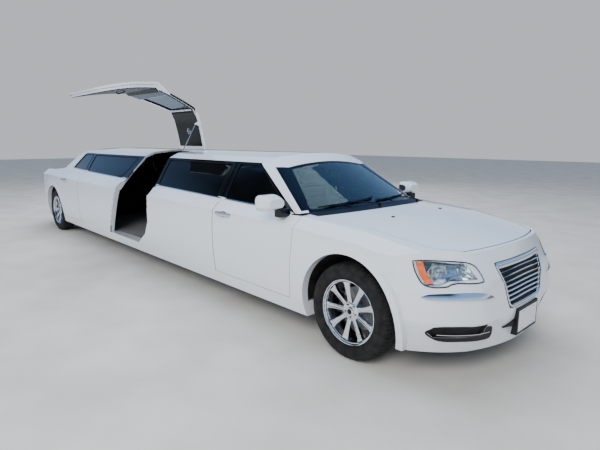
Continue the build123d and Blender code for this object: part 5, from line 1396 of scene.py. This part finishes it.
def doorway_run(name, tree, spots, shift):
    """Seal along spots (x, z) of the doorway's edge, stood off it by a shift."""
    line = []
    for x, z in spots:
        hit, n, _, _ = tree.ray_cast(Vector((x, -1.5, z)), Vector((0, 1, 0)))
        if hit is not None:
            line.append((hit + Vector(shift), n))
    return sweep(name, line, DOORWAY_LIP, "seal", angle=60)


def seal_doorway():
    """Rubber seal on the door's opening in the right side of the body, below the roof."""
    spots = []
    for start, end in zip(DOORWAY_REAR, DOORWAY_REAR[1:]):
        for k in range(12):
            x, z = Vector(start).lerp(Vector(end), k / 12)
            spots.append((x - 0.014, z))
    rear = doorway_run("seal_rear", surface_of("body_side_right", "sills"), spots, (0.004, 0.012, 0))
    spots = [(0.414, z) for z in spread(0.66, 1.37, 25)]
    fore = doorway_run("seal_fore", surface_of("body_side_right"), spots, (-0.004, 0.012, 0))
    both = joined("doorway_seal", [rear, fore])
    shade(both, 60)
    fasten(both, "body", "body_side_right")


# Mirrors, wipers, washers and plates


# Mirror glass: its middle, with y as a distance from the centre line, and half its width and height
MIRROR_X, MIRROR_Y, MIRROR_Z = 2.6893, 0.985, 1.095
MIRROR_HALF = (0.088, 0.052)


def fit_mirrors():
    """Silvered glass and a bead round it on each mirror shell."""
    for side, label in SIDES:
        node = f"front_door_{label}"
        rows = []
        for ring in (1.0, 0.97, 0.6, 0.05):
            x = MIRROR_X - 0.0012 * (ring < 0.99) - 0.002 * (1 - ring)
            wide, tall = (half * ring for half in MIRROR_HALF)
            rows.append([
                Vector((x, side * (MIRROR_Y + wide * u), MIRROR_Z + tall * v))
                for u, v in squared(40, 0.55, 0.7)
            ])
        glass = grid("glass", rows, finish="mirror", angle=60)
        bead = tube("bead", rows[0], 0.0028, "black_plastic", closed=True, steps=6)
        fasten(joined(f"mirror_glass_{label}", [glass, bead]), node, node)


# Wipers: the y of each blade's outer and inner end, and of its pivot
WIPERS = ((0.64, 0.03, 0.56), (0.0, -0.62, -0.08))
WIPER_SECTION = [(-0.006, 0.0), (0.006, 0.0), (0.004, 0.009), (0.0, 0.012), (-0.004, 0.009)]
WIPER_RUBBER = [(-0.0015, -0.007), (0.0015, -0.007), (0.003, 0.001), (-0.003, 0.001)]


def fit_wipers():
    """Two arms with flexible blades, parked along the foot of the windscreen."""
    screen, cowl = surface_of("windscreen"), surface_of("cowl")
    made = []
    for start, end, pivot_y in WIPERS:
        line = []
        for k, y in enumerate(spread(start, end, 21)):
            p, n = land(screen, (4.6, y, 1.078 - 0.03 * abs(y) - 0.02 * k / 20), (-1, 0, 0))
            line.append((p + n * 0.009, n))
        made.append(sweep("blade", line, WIPER_SECTION, "black_plastic"))
        made.append(sweep("rubber", line, WIPER_RUBBER, "seal"))
        foot = land(cowl, (3.165 - 0.12 * pivot_y ** 2, pivot_y, 1.6), (0, 0, -1))[0]
        p, n = line[11]
        middle = p + n * 0.014
        arm = [foot, foot + Vector((0, 0, 0.022))]
        arm += [arm[-1].lerp(middle, k / 5) + Vector((0, 0, 0.006 * sin(pi * k / 5))) for k in range(1, 6)]
        made.append(tube("arm", arm, 0.0055, "black_plastic", steps=8))
        made.append(tube("cap", [foot, foot + Vector((0, 0, 0.026))], 0.013, "black_plastic", steps=16))
    pair = joined("windscreen_wipers", made)
    shade(pair, 50)
    fasten(pair, "body", "cowl")


def fit_washers():
    """Two jets on the bonnet."""
    bonnet = surface_of("bonnet")
    jets = []
    for side, _ in SIDES:
        p, n = land(bonnet, (3.5, side * 0.35, 2), (0, 0, -1))
        rows = []
        for r, up in ((0.013, -0.001), (0.0125, 0.003), (0.01, 0.006), (0.006, 0.0075), (0.001, 0.008)):
            rows.append([p + Vector((u, v, 0)) + n * up for u, v in circle(24, r * 1.3, r)])
        jets.append(grid("jet", rows, finish="black_plastic", angle=50))
    fasten(joined("washer_jets", jets), "bonnet", "bonnet")


def band_windscreen():
    """Black ceramic border fired on the edge of the windscreen."""
    tree = surface_of("windscreen")
    points = [Vector((v.co.y, v.co.z)) for v in frame["nodes"]["windscreen"].data.vertices]
    hull = [points[i] for i in geometry.convex_hull_2d(points)]
    middle = Vector((0.0, 1.19))
    rows = []
    for across, up in ((0.008, 0.005), (0.02, 0.01), (0.032, 0.016)):
        row = []
        for q in filled(hull, 0.03):
            inward = across * (1 if q.x > 0 else -1) * min(1.0, abs(q.x) / 0.4)
            inset = Vector((q.x - inward, q.y - up * (q.y - middle.y) / 0.19))
            while meet(tree, (4.6, inset.x, inset.y), (-1, 0, 0)) is None:
                inset = inset.lerp(middle, 0.01)
            row.append(land(tree, (4.6, inset.x, inset.y), (-1, 0, 0), 0.0005)[0])
        rows.append(row)
    band = grid("windscreen_border", rows, finish="black_gloss", angle=60)
    fasten(band, "body", "windscreen")


# Black glass beside the windscreen: its inner and outer edge from top to foot, on the left pillar
FLANK_INNER = (Vector((2.452, 0.495, 1.346)), Vector((2.92, 0.708, 1.026)))
FLANK_OUTER = (Vector((2.398, 0.626, 1.355)), Vector((2.895, 0.773, 1.024)))
# Its section from the inner edge and back, as (share, lift)
FLANK_SECTION = (
    (0.0, 0.0022), (0.3, 0.0022), (0.6, 0.0022), (0.97, 0.0022), (1.0, 0.0008), (1.0, -0.003),
    (0.5, -0.003), (0.0, -0.003),
)


def flank_windscreen():
    """Black edge of the screen glass, run out over each pillar as far as the painted strip."""
    tree = surface_of("roof", "windscreen")
    for side, label in SIDES:
        out = Vector((0.48, side * 0.24, 0.84)).normalized()
        rows = []
        for k in range(15):
            inner, outer = (edge[0].lerp(edge[1], k / 14) for edge in (FLANK_INNER, FLANK_OUTER))
            row = []
            for share, lift in FLANK_SECTION:
                spot = inner.lerp(outer, share)
                spot.y *= side
                hit = tree.ray_cast(spot + out * 0.1, -out, 0.13)[0]
                if hit is not None and (hit - spot).length < 0.02:
                    spot = hit
                row.append(spot + out * lift)
            rows.append(row)
        flank = grid(f"windscreen_flank_{label}", rows, ends=True, finish="black_gloss", angle=40)
        fasten(flank, "body", "windscreen")


# Plates: end of the car and height of the middle, x of the screws and rim, half the screws' spacing, half
# the rim
PLATES = ((1, 0.361), (-1, 0.5))
SCREW_X, RIM_X = 4.4413, 4.4407
SCREW_Y, SCREW_Z = 0.0889, 0.060325
RIM_HALF = (0.1465, 0.0705)
SCREW = ((0.0072, 0.0), (0.007, 0.0012), (0.0045, 0.0022), (0.0005, 0.0024))


def fit_plates():
    """Blank white plates on black brackets, with four screws and a raised rim each."""
    def pick(centre, normal):
        return 1 if abs(centre.x) > 4.4392 and abs(centre.y) < 0.156 else 0
    dress("number_plates", "plates_and_brackets", ["black_plastic", "plate"], sort=pick, bevel=0.001)
    made = []
    corners = rounded([(1, 1), (-1, 1), (-1, -1), (1, -1)], 0.06, 4)
    for end, middle in PLATES:
        for y in (-SCREW_Y, SCREW_Y):
            for z in (-SCREW_Z, SCREW_Z):
                centre = Vector((end * SCREW_X, y, middle + z))
                rows = []
                for r, out in SCREW:
                    x = -end * 0.0003 + end * out * 0.25
                    rows.append([centre + Vector((x, u, v)) for u, v in circle(16, r)])
                made.append(grid("screw", rows, finish="steel", angle=40))
        rim = [Vector((end * RIM_X, RIM_HALF[0] * u, middle + RIM_HALF[1] * v)) for u, v in corners]
        made.append(tube("rim", rim, 0.0008, "plate", closed=True, steps=6))
    both = joined("plate_screws_and_rims", made)
    shade(both, 40)
    fasten(both, "body", "number_plates")


# Under the car


def carpeted(centre, normal):
    """Slot of a face of the floor: carpet above, coating below."""
    return 1 if normal.z > 0.5 and centre.z > 0.2 else 0


def fuel_tank(centre, normal):
    """Slot of a face of the exhaust and tank: the tank is plastic."""
    return 1 if abs(centre.y) < 0.175 and centre.z > 0.235 and centre.x < -3.8 else 0


# Node, piece, finish, edge rounding, and what sorts its faces
UNDERBODY = (
    ("floor_pan", "floor_pan_coated", ["underseal", "carpet"], 0, carpeted),
    ("front_structure", "front_structure_coated", "underseal", 0, None),
    ("powertrain", "engine_and_driveline", "cast", 0.002, None),
    ("suspension", "suspension_arms_and_springs", "cast", 0.001, None),
    ("knuckle_left", "knuckle_cast_left", "cast", 0.001, None),
    ("knuckle_right", "knuckle_cast_right", "cast", 0.001, None),
    ("tie_rods", "tie_rods_steel", "steel", 0, None),
    ("exhaust_and_tank", "exhaust_and_tank_finished", ["steel", "black_plastic"], 0.001, fuel_tank),
    ("grille_backing", "grille_backing_moulded", "black_plastic", 0, None),
    ("cowl", "cowl_panel", "black_plastic", 0.001, None),
)


def dress_underbody():
    """Floor, driveline, running gear, exhaust, and the dark panels at the nose and screen."""
    for node, name, finish, bevel, sort in UNDERBODY:
        dress(node, name, finish, sort=sort, bevel=bevel)


# Section of an exhaust tip, as (radius over the pipe's, x), before it closes over the pipe's dark mouth
TIP = ((0.0004, -4.25), (0.002, -4.26), (0.002, -4.392), (0.001, -4.3955), (-0.003, -4.3955),
       (-0.004, -4.3952),
       (-0.008, -4.3951))


def dress_exhaust_tips():
    """Rolled chrome tips on the tail pipes."""
    made = []
    for side, _ in SIDES:
        spots = [v.co for v in frame["nodes"]["exhaust_and_tank"].data.vertices]
        mouth = [p for p in spots if p.x < -4.38 and p.y * side > 0]
        ys, zs = [p.y for p in mouth], [p.z for p in mouth]
        y, z, r = (min(ys) + max(ys)) / 2, (min(zs) + max(zs)) / 2, (max(zs) - min(zs)) / 2
        section = [(r + more, x) for more, x in TIP] + [(0.0005, -4.3951)]
        rows = [[Vector((x, y + u, z + v)) for u, v in circle(40, radius)] for radius, x in section]
        made.append(grid("tip", rows, finish="chrome", angle=50))
    pair = joined("exhaust_tips", made)
    fasten(pair, "body", "exhaust_and_tank")


# Cabin


# Panels let into the dashboard, as (y from, y to, z from, z to): instrument pod and central screen
DASH_PANELS = ((0.2, 0.54, 0.845, 0.925), (-0.13, 0.13, 0.83, 0.905))
HOOD = [(-0.006, -0.01), (0.006, -0.01), (0.006, 0.035), (-0.004, 0.035)]
# Air vents: their y, half their width, a slat's section as (x, z) and its faces
VENTS, VENT_HALF = (0.62, 0.17, -0.17, -0.62), 0.045
SLAT = [(-0.01, 0.0), (0.004, 0.0025), (0.004, 0.0), (-0.01, -0.0015)]
SLAT_FACES = [(0, 1, 5, 4), (1, 2, 6, 5), (2, 3, 7, 6), (3, 0, 4, 7), (3, 2, 1, 0), (4, 5, 6, 7)]


def dress_cabin():
    """Bar, partition and dashboard, with its instruments and vents."""
    def furniture(centre, normal):
        return 1 if centre.x > 1.452 else 0
    dress("cabin_furniture", "bar_and_partition", ["veneer", "leather"], sort=furniture, bevel=0.004)
    dress("dashboard", "dashboard_moulded", "black_plastic", bevel=0.012)
    tree = surface_of("dashboard")

    def on_dash(y, z):
        return land(tree, (2.2, y, z), (1, 0, 0))[0]

    made = []
    for low, high, foot, top in DASH_PANELS:
        rows = [
            [on_dash(y, z) + Vector((-0.004, 0, 0)) for y in spread(low, high, 13)]
            for z in spread(foot, top, 9)
        ]
        made.append(wall(grid("panel", rows, closed=False, finish="black_gloss"), 0.006, 0))
    facing = Vector((-1, 0, 0.2))
    hood = [(on_dash(0.18 + 0.38 * k / 20, 0.925 + 0.01 * sin(pi * k / 20)), facing) for k in range(21)]
    made.append(sweep("hood", hood, HOOD, "black_plastic"))
    fasten(joined("instruments_and_screen", made), "body", "dashboard")

    row = row_tree()
    made = []
    for y in VENTS:
        x = on_dash(y, 0.88).x
        ends = (-VENT_HALF, VENT_HALF)
        points = [Vector((x + a - 0.004, y + end, 0.858 + b)) for end in ends for a, b in SLAT]
        mesh = mesh_of("slat", points, SLAT_FACES)
        face_out(mesh)
        piece = new_piece("slats", mesh, "grey_plastic")
        step = (0.0015, 0.0, 0.0085)
        made.append(repeat(piece, row, 30, Count=6, Step=step, Finish=FINISH["grey_plastic"]))
    fasten(joined("air_vents", made), "body", "dashboard")


# Steering wheel: its place, the column's tilt, the rim's radius and half its thickness across and along the
# column, its spokes as (degrees, half width), and the boss as (radius, height)
STEERING_PLACE, STEERING_TILT = (2.33, 0.37, 0.85), radians(25)
RIM_RADIUS, RIM_ACROSS, RIM_ALONG = 0.185, 0.0148, 0.0125
WHEEL_SPOKES = ((0, 0.02), (180, 0.02), (270, 0.016))
SPOKE_SECTION = ((-1, 0.0), (-0.8, -0.006), (0.8, -0.006), (1, 0.0), (0.8, 0.007), (-0.8, 0.007))
BOSS = ((0.018, 0.235), (0.018, 0.03), (0.066, 0.022), (0.071, 0.01), (0.066, 0.002), (0.04, 0.0004),
        (0.001, 0.0))


def fit_steering_wheel():
    """Leather rim, three spokes and a moulded boss on the column's axis."""
    c, s = cos(STEERING_TILT), sin(STEERING_TILT)
    place = Matrix.Translation(STEERING_PLACE) @ Matrix(((0, s, c, 0), (1, 0, 0, 0), (0, c, -s, 0),
        (0, 0, 0, 1)))
    rows = []
    for k in range(73):
        a = 2 * pi * k / 72
        rows.append([
            Vector(((RIM_RADIUS + u) * cos(a), (RIM_RADIUS + u) * sin(a), 0.012 + v))
            for u, v in circle(14, RIM_ACROSS, RIM_ALONG)
        ])
    made = [grid("rim", rows, finish="leather", angle=70)]
    for degrees, wide in WHEEL_SPOKES:
        a = radians(degrees)
        out, across = Vector((cos(a), sin(a), 0)), Vector((-sin(a), cos(a), 0))
        rows = []
        for t in spread(0, 1, 9):
            w = wide * (1.5 - 0.7 * sin(pi * t / 2))
            middle = out * (0.055 + 0.12 * t) + Vector((0, 0, 0.008 + 0.004 * t))
            rows.append([middle + across * w * u + Vector((0, 0, v)) for u, v in SPOKE_SECTION])
        made.append(grid("spoke", rows, ends=True, finish="black_plastic", angle=50))
    rows = [[Vector((u, v, h)) for u, v in circle(48, r, r * 0.92)] for r, h in BOSS]
    made.append(grid("boss", rows, finish="black_plastic", angle=40))
    whole = joined("steering_wheel_leather", made)
    whole.data.transform(place)
    face_out(whole.data)
    shade(whole, 50)
    fasten(whole, "steering_wheel", "steering_wheel", "steering_wheel")


# Interior mirror's shell from the front to the glass, as (share of its size, x), and half its width and
# height
SHELL = ((0.05, 0.012), (0.8, 0.014), (1.0, 0.004), (1.0, -0.006), (0.93, -0.009), (0.05, -0.009))
SHELL_HALF = (0.115, 0.032)


def interior_mirror():
    """Mirror on a stem from the head of the windscreen."""
    top = land(surface_of("windscreen"), (4.6, 0.0, 1.315), (-1, 0, 0))[0]
    centre = top + Vector((-0.085, 0, -0.055))
    rows = []
    for ring, x in SHELL:
        wide, tall = (half * ring for half in SHELL_HALF)
        rows.append([centre + Vector((x, wide * u, tall * v)) for u, v in squared(40, 0.6, 0.8)])
    shell = grid("shell", rows, finish="black_plastic", angle=50)
    path = [centre + Vector((0.01, 0, 0.008)), top + Vector((-0.03, 0, 0.002)), top
            + Vector((-0.01, 0, 0.004))]
    stem = tube("stem", path, 0.006, "black_plastic")
    fasten(joined("interior_mirror", [shell, stem]), "body", "windscreen")


# Padded seats

# Remesh grain, the most that a point may move, the cloth's pressure, quality and frames, and by how much a
# pad starts smaller than its size
PAD_VOXEL, PAD_CAP = 0.013, 0.016
PAD_PRESSURE, PAD_QUALITY, PAD_FRAMES = 4.0, 4, 20
PAD_SHRINK = 0.024
# Sewn channels: depth and half width
CHANNEL_DEPTH, CHANNEL_WIDTH = 0.009, 0.01


def pad_place(middle, tilt_axis, tilt):
    """Where a pad's own block stands in the car."""
    return Matrix.Translation(middle) @ Matrix.Rotation(radians(tilt), 4, tilt_axis)


def pad_block(name, middle, size, tilt_axis, tilt):
    """Rounded block, a little small, that the cloth will swell."""
    bm = bmesh.new()
    bmesh.ops.create_cube(bm, size=1.0)
    for vertex in bm.verts:
        vertex.co = Vector(c * (s - PAD_SHRINK) for c, s in zip(vertex.co, size))
    bmesh.ops.bevel(bm, geom=bm.edges[:], offset=min(size) * 0.3, segments=3, affect="EDGES", profile=0.6)
    mesh = bpy.data.meshes.new(name)
    bm.to_mesh(mesh)
    bm.free()
    mesh.transform(pad_place(middle, tilt_axis, tilt))
    return new_piece(name, mesh, "leather")


def inflate(piece):
    """Remeshes a pad and lets cloth pressure swell it, each point by a capped distance."""
    grain = piece.modifiers.new("remesh", "REMESH")
    grain.mode, grain.voxel_size = "VOXEL", PAD_VOXEL
    settle(piece, 180)
    before = [v.co.copy() for v in piece.data.vertices]
    cloth = piece.modifiers.new("swell", "CLOTH")
    cloth.settings.use_pressure = True
    cloth.settings.uniform_pressure_force = PAD_PRESSURE
    cloth.settings.effector_weights.gravity = 0.0
    cloth.settings.quality = PAD_QUALITY
    scene = bpy.context.scene
    for step in range(1, PAD_FRAMES + 1):
        scene.frame_set(step)
    settle(piece, 180)
    scene.frame_set(1)
    for vertex, start in zip(piece.data.vertices, before):
        move = vertex.co - start
        if move.length > PAD_CAP:
            vertex.co = start + move.normalized() * PAD_CAP


def channel(piece, axis, lines, middle, size, tilt_axis, tilt):
    """Presses sewn channels into a pad across its local axis, then smooths it once."""
    smooth = piece.modifiers.new("fine", "SUBSURF")
    smooth.levels = smooth.render_levels = 1
    settle(piece, 180)
    back = pad_place(middle, tilt_axis, tilt).inverted()
    normals = [v.normal.copy() for v in piece.data.vertices]
    for vertex, normal in zip(piece.data.vertices, normals):
        local = back @ vertex.co
        push = 0.0
        for line in lines:
            gap = (local[axis] - line * size[axis]) / CHANNEL_WIDTH
            push += CHANNEL_DEPTH * 2.718 ** (-gap * gap)
        vertex.co -= normal * push
    shade(piece, 180)


# Channels' places along a pad, as shares of its size; the side bench's ends in x and its number of places
CUSHION_LINES, BACK_LINES = (-0.2, 0.1, 0.35), (-0.25, 0.0, 0.25)
SIDE_BENCH = (-2.05, 1.35)
SIDE_PLACES = 5
# The rearmost place of the side bench starts this much further forward, clear of the rear bench
SIDE_CLEAR = 0.28


def pad_list():
    """Every pad, as name, middle, size along x, y and z, tilt axis, tilt, channels' axis and their places."""
    pads = []

    def add(*pad):
        pads.append(pad)
    for side, label in SIDES:
        y = side * 0.39
        add(f"front_seat_cushion_{label}", (2.175, y, 0.56), (0.5, 0.52, 0.11), "Y", -5, 0, CUSHION_LINES)
        add(f"front_seat_backrest_{label}", (1.9, y, 0.82), (0.11, 0.51, 0.56), "Y", -13, 2, BACK_LINES)
        add(f"front_headrest_{label}", (1.805, y, 1.175), (0.09, 0.27, 0.16), "Y", -12, 2, ())
    for k, y in enumerate((-0.46, 0.0, 0.46)):
        add(f"rear_bench_cushion_{k + 1}", (-2.42, y, 0.56), (0.48, 0.445, 0.11), "Y", -4, 0, CUSHION_LINES)
        add(f"rear_bench_backrest_{k + 1}", (-2.7, y, 0.82), (0.11, 0.445, 0.52), "Y", -15, 2, BACK_LINES)
    back, front = SIDE_BENCH
    wide = (front - back) / SIDE_PLACES
    for k in range(SIDE_PLACES):
        clear = 0 if k else SIDE_CLEAR
        x, long = back + wide * (k + 0.5) + clear / 2, wide - clear - 0.015
        add(f"side_bench_cushion_{k + 1}", (x, 0.525, 0.563), (long, 0.33, 0.1), "X", -4, 1, (-0.15, 0.25))
        add(f"side_bench_backrest_{k + 1}", (x, 0.708, 0.745), (long, 0.1, 0.33), "X", -8, 2, (-0.2, 0.1))
    return pads


def upholster():
    """Leather cushions and backrests over the seat frames, swollen by cloth and sewn in channels."""
    dress("seats", "seat_frames", "black_plastic", bevel=0.01)
    for name, middle, size, tilt_axis, tilt, axis, lines in pad_list():
        piece = pad_block(name, middle, size, tilt_axis, tilt)
        inflate(piece)
        channel(piece, axis, lines, middle, size, tilt_axis, tilt)
        fasten(piece, "body", "seats")


# Stage

CAMERA_PLACE = (5.607, -3.328, 1.585)
CAMERA_YAW, CAMERA_DOWN, CAMERA_ROLL = radians(136.85), radians(10.27), radians(0.21)
CAMERA_LENS, CAMERA_SENSOR = 27.64, 36
FLOOR_REACH, FLOOR_Z = 40, -0.001
# Soft lights: name, place, power in watts, size and colour; all are aimed at one point
LIGHTS = (
    ("key_light", (7.5, -8.5, 7.0), 950, 5.0, "#FFFDF8"),
    ("fill_light", (-4.0, -11.0, 5.0), 400, 6.0, "#EEF4FF"),
    ("top_light", (0.0, 1.0, 9.0), 750, 8.0, "#E6F0FF"),
    ("back_light", (-7.0, 7.0, 6.0), 500, 6.0, "#F0F6FF"),
)
LIGHT_AIM = (0.5, 0, 0.6)


def set_camera():
    """The photograph's viewing angle."""
    yaw, down, roll = CAMERA_YAW, CAMERA_DOWN, CAMERA_ROLL
    ahead = Vector((cos(down) * cos(yaw), cos(down) * sin(yaw), -sin(down)))
    level = Vector((sin(yaw), -cos(yaw), 0))
    upward = level.cross(ahead)
    across = level * cos(roll) + upward * sin(roll)
    upward = upward * cos(roll) - level * sin(roll)
    camera = bpy.data.objects.new("camera", bpy.data.cameras.new("camera"))
    camera.data.lens, camera.data.sensor_width = CAMERA_LENS, CAMERA_SENSOR
    camera.data.clip_end = 200
    turned = Matrix((across, upward, -ahead)).transposed().to_4x4()
    camera.matrix_world = Matrix.Translation(CAMERA_PLACE) @ turned
    bpy.context.scene.collection.objects.link(camera)
    bpy.context.scene.camera = camera


def set_floor_and_lights():
    """A pale floor just under the tyres, and large soft lights."""
    reach = FLOOR_REACH
    corners = ((-reach, -reach), (reach, -reach), (reach, reach), (-reach, reach))
    points = [(x, y, FLOOR_Z) for x, y in corners]
    floor = new_piece("floor", mesh_of("floor", points, [(0, 1, 2, 3)]), "floor")
    for name, place, power, width, hue in LIGHTS:
        lamp = bpy.data.objects.new(name, bpy.data.lights.new(name, "AREA"))
        lamp.data.energy, lamp.data.size, lamp.data.color = power, width, linear(hue)[:3]
        lamp.location = place
        aim = Vector(LIGHT_AIM) - Vector(place)
        lamp.rotation_euler = aim.to_track_quat("-Z", "Y").to_euler()
        lamp.visible_glossy = False
        bpy.context.scene.collection.objects.link(lamp)


def set_sky():
    """Sky for reflections, an even glow for soft light, and a plain backdrop for the camera."""
    world = bpy.context.scene.world or bpy.data.worlds.new("studio_sky")
    bpy.context.scene.world = world
    world.use_nodes = True
    tree = world.node_tree
    tree.nodes.clear()
    view = put(tree, "ShaderNodeTexCoord")
    toward = put(tree, "ShaderNodeSeparateXYZ", {"Vector": view.outputs["Generated"]})
    sky = put(tree, "ShaderNodeValToRGB", {"Fac": toward.outputs["Z"]})
    stops = sky.color_ramp.elements
    stops[0].position, stops[0].color = 0.0, linear("#62686C")
    stops[1].position, stops[1].color = 1.0, linear("#5F97E6")
    for place, hue in ((0.05, "#7C858C"), (0.09, "#EDF3FA"), (0.24, "#8DB8EE")):
        stops.new(place).color = linear(hue)
    # A dark canopy high on the right, as reflected by the side glass
    side = put(tree, "ShaderNodeMapRange", {"Value": toward.outputs["Y"], 1: -0.12, 2: -0.38, 3: 0.0, 4: 1.0})
    high = put(tree, "ShaderNodeMapRange", {"Value": toward.outputs["Z"], 1: 0.28, 2: 0.42, 3: 0.0, 4: 1.0})
    shares = {0: side.outputs["Result"], 1: high.outputs["Result"]}
    canopy = put(tree, "ShaderNodeMath", shares, operation="MULTIPLY")
    colours = {0: canopy.outputs["Value"], 6: sky.outputs["Color"], 7: linear("#26292D")}
    shaded = put(tree, "ShaderNodeMix", colours, data_type="RGBA")
    room = put(tree, "ShaderNodeBackground", {"Color": shaded.outputs[2], "Strength": 1.0})
    soft = put(tree, "ShaderNodeBackground", {"Color": linear("#C3CEDC"), "Strength": 0.9})
    backdrop = put(tree, "ShaderNodeBackground", {"Color": linear("#D3D8DD"), "Strength": 0.9})
    seen = put(tree, "ShaderNodeLightPath")
    lit = put(tree, "ShaderNodeMixShader", {
        0: seen.outputs["Is Diffuse Ray"], 1: room.outputs["Background"], 2: soft.outputs["Background"]
    })
    both = put(tree, "ShaderNodeMixShader", {
        0: seen.outputs["Is Camera Ray"], 1: lit.outputs["Shader"], 2: backdrop.outputs["Background"]
    })
    put(tree, "ShaderNodeOutputWorld", {"Surface": both.outputs["Shader"]})


# Sizes and colours that a user would change


class LimousineLook(bpy.types.PropertyGroup):
    paint_hex: bpy.props.StringProperty(name="Paint", description="Body colour as sRGB hex",
        default="#E6ECF4")
    plate_hex: bpy.props.StringProperty(name="Plate", description="Blank plate colour as sRGB hex",
        default="#DFE3E8")
    spokes: bpy.props.IntProperty(name="Spokes", description="Spokes of each rim", default=9, min=5, max=15)
    grille_bars: bpy.props.IntProperty(name="Grille bars", description="Bars across the grille", default=7,
        min=4, max=14)
    edge_radius: bpy.props.FloatProperty(
        name="Edge radius", description="Rounding of the body panels' edges", default=0.0015, min=0,
        unit="LENGTH"
    )


class LIMO_OT_stage(bpy.types.Operator):
    """Camera, floor, soft lights and sky"""
    bl_idname, bl_label = "limo.stage", "Stage"

    def execute(self, context):
        set_camera()
        set_floor_and_lights()
        set_sky()
        return {"FINISHED"}


class LIMO_OT_body(bpy.types.Operator):
    """Painted panels with their black frames and inner trim"""
    bl_idname, bl_label = "limo.body", "Body panels"

    def execute(self, context):
        paint_body(context.scene.limousine_look)
        close_corners()
        return {"FINISHED"}


class LIMO_OT_glass(bpy.types.Operator):
    """Privacy glass, windscreen and its fired border"""
    bl_idname, bl_label = "limo.glass", "Glass"

    def execute(self, context):
        glaze()
        band_windscreen()
        flank_windscreen()
        interior_mirror()
        return {"FINISHED"}


class LIMO_OT_gull_door(bpy.types.Operator):
    """Gull-wing door, its lining, seals and strut"""
    bl_idname, bl_label = "limo.gull_door", "Gull-wing door"

    def execute(self, context):
        dress_gull_door(context.scene.limousine_look)
        seal_doorway()
        return {"FINISHED"}


class LIMO_OT_brightwork(bpy.types.Operator):
    """Grille, blades under the lamps, belt mouldings, handles and exhaust tips"""
    bl_idname, bl_label = "limo.brightwork", "Brightwork"

    def execute(self, context):
        dress_grille(context.scene.limousine_look)
        lamp_blades()
        side_grilles()
        plate_arm()
        bonnet_gap_seal_and_shade()
        belt_strips()
        door_handles()
        dress_exhaust_tips()
        return {"FINISHED"}


class LIMO_OT_seals(bpy.types.Operator):
    """Rubber round the side windows"""
    bl_idname, bl_label = "limo.seals", "Window seals"

    def execute(self, context):
        seal_windows()
        return {"FINISHED"}


class LIMO_OT_lamps(bpy.types.Operator):
    """Headlamps and tail lamps"""
    bl_idname, bl_label = "limo.lamps", "Lamps"

    def execute(self, context):
        fit_headlamps()
        fit_tail_lamps()
        return {"FINISHED"}


class LIMO_OT_wheels(bpy.types.Operator):
    """Chrome rims, brake discs and tyres"""
    bl_idname, bl_label = "limo.wheels", "Wheels and tyres"

    def execute(self, context):
        fit_wheels(context.scene.limousine_look)
        fit_tyres()
        return {"FINISHED"}


class LIMO_OT_fittings(bpy.types.Operator):
    """Door mirrors, wipers, washer jets and number plates"""
    bl_idname, bl_label = "limo.fittings", "Mirrors, wipers and plates"

    def execute(self, context):
        fit_mirrors()
        fit_wipers()
        fit_washers()
        fit_plates()
        return {"FINISHED"}


class LIMO_OT_underbody(bpy.types.Operator):
    """Floor, driveline, suspension and exhaust"""
    bl_idname, bl_label = "limo.underbody", "Underbody"

    def execute(self, context):
        dress_underbody()
        return {"FINISHED"}


class LIMO_OT_cabin(bpy.types.Operator):
    """Dashboard, steering wheel, bar and partition"""
    bl_idname, bl_label = "limo.cabin", "Cabin"

    def execute(self, context):
        dress_cabin()
        fit_steering_wheel()
        return {"FINISHED"}


class LIMO_OT_seats(bpy.types.Operator):
    """Leather cushions and backrests, swollen by cloth"""
    bl_idname, bl_label = "limo.seats", "Seats"

    def execute(self, context):
        upholster()
        return {"FINISHED"}


OPERATORS = (
    LIMO_OT_stage, LIMO_OT_body, LIMO_OT_glass, LIMO_OT_gull_door, LIMO_OT_brightwork, LIMO_OT_seals,
    LIMO_OT_lamps, LIMO_OT_wheels, LIMO_OT_fittings, LIMO_OT_underbody, LIMO_OT_cabin, LIMO_OT_seats,
)


class LIMO_PT_sidebar(bpy.types.Panel):
    """Lists the limousine's sizes, colours and pieces"""
    bl_label = "Limousine"
    bl_idname = "LIMO_PT_sidebar"
    bl_space_type, bl_region_type, bl_category = "VIEW_3D", "UI", "Limousine"

    def draw(self, context):
        look = context.scene.limousine_look
        for name in ("paint_hex", "plate_hex", "spokes", "grille_bars", "edge_radius"):
            self.layout.prop(look, name)
        for operator in OPERATORS:
            self.layout.operator(operator.bl_idname)


CLASSES = (LimousineLook,) + OPERATORS + (LIMO_PT_sidebar,)


def register():
    for kind in CLASSES:
        bpy.utils.register_class(kind)
    bpy.types.Scene.limousine_look = bpy.props.PointerProperty(type=LimousineLook)


def unregister():
    del bpy.types.Scene.limousine_look
    for kind in reversed(CLASSES):
        bpy.utils.unregister_class(kind)


def main():
    register()
    FINISH.update(make_materials(bpy.context.scene.limousine_look))
    for operator in OPERATORS:
        group, name = operator.bl_idname.split(".")
        getattr(getattr(bpy.ops, group), name)()


if __name__ == "__main__":
    main()
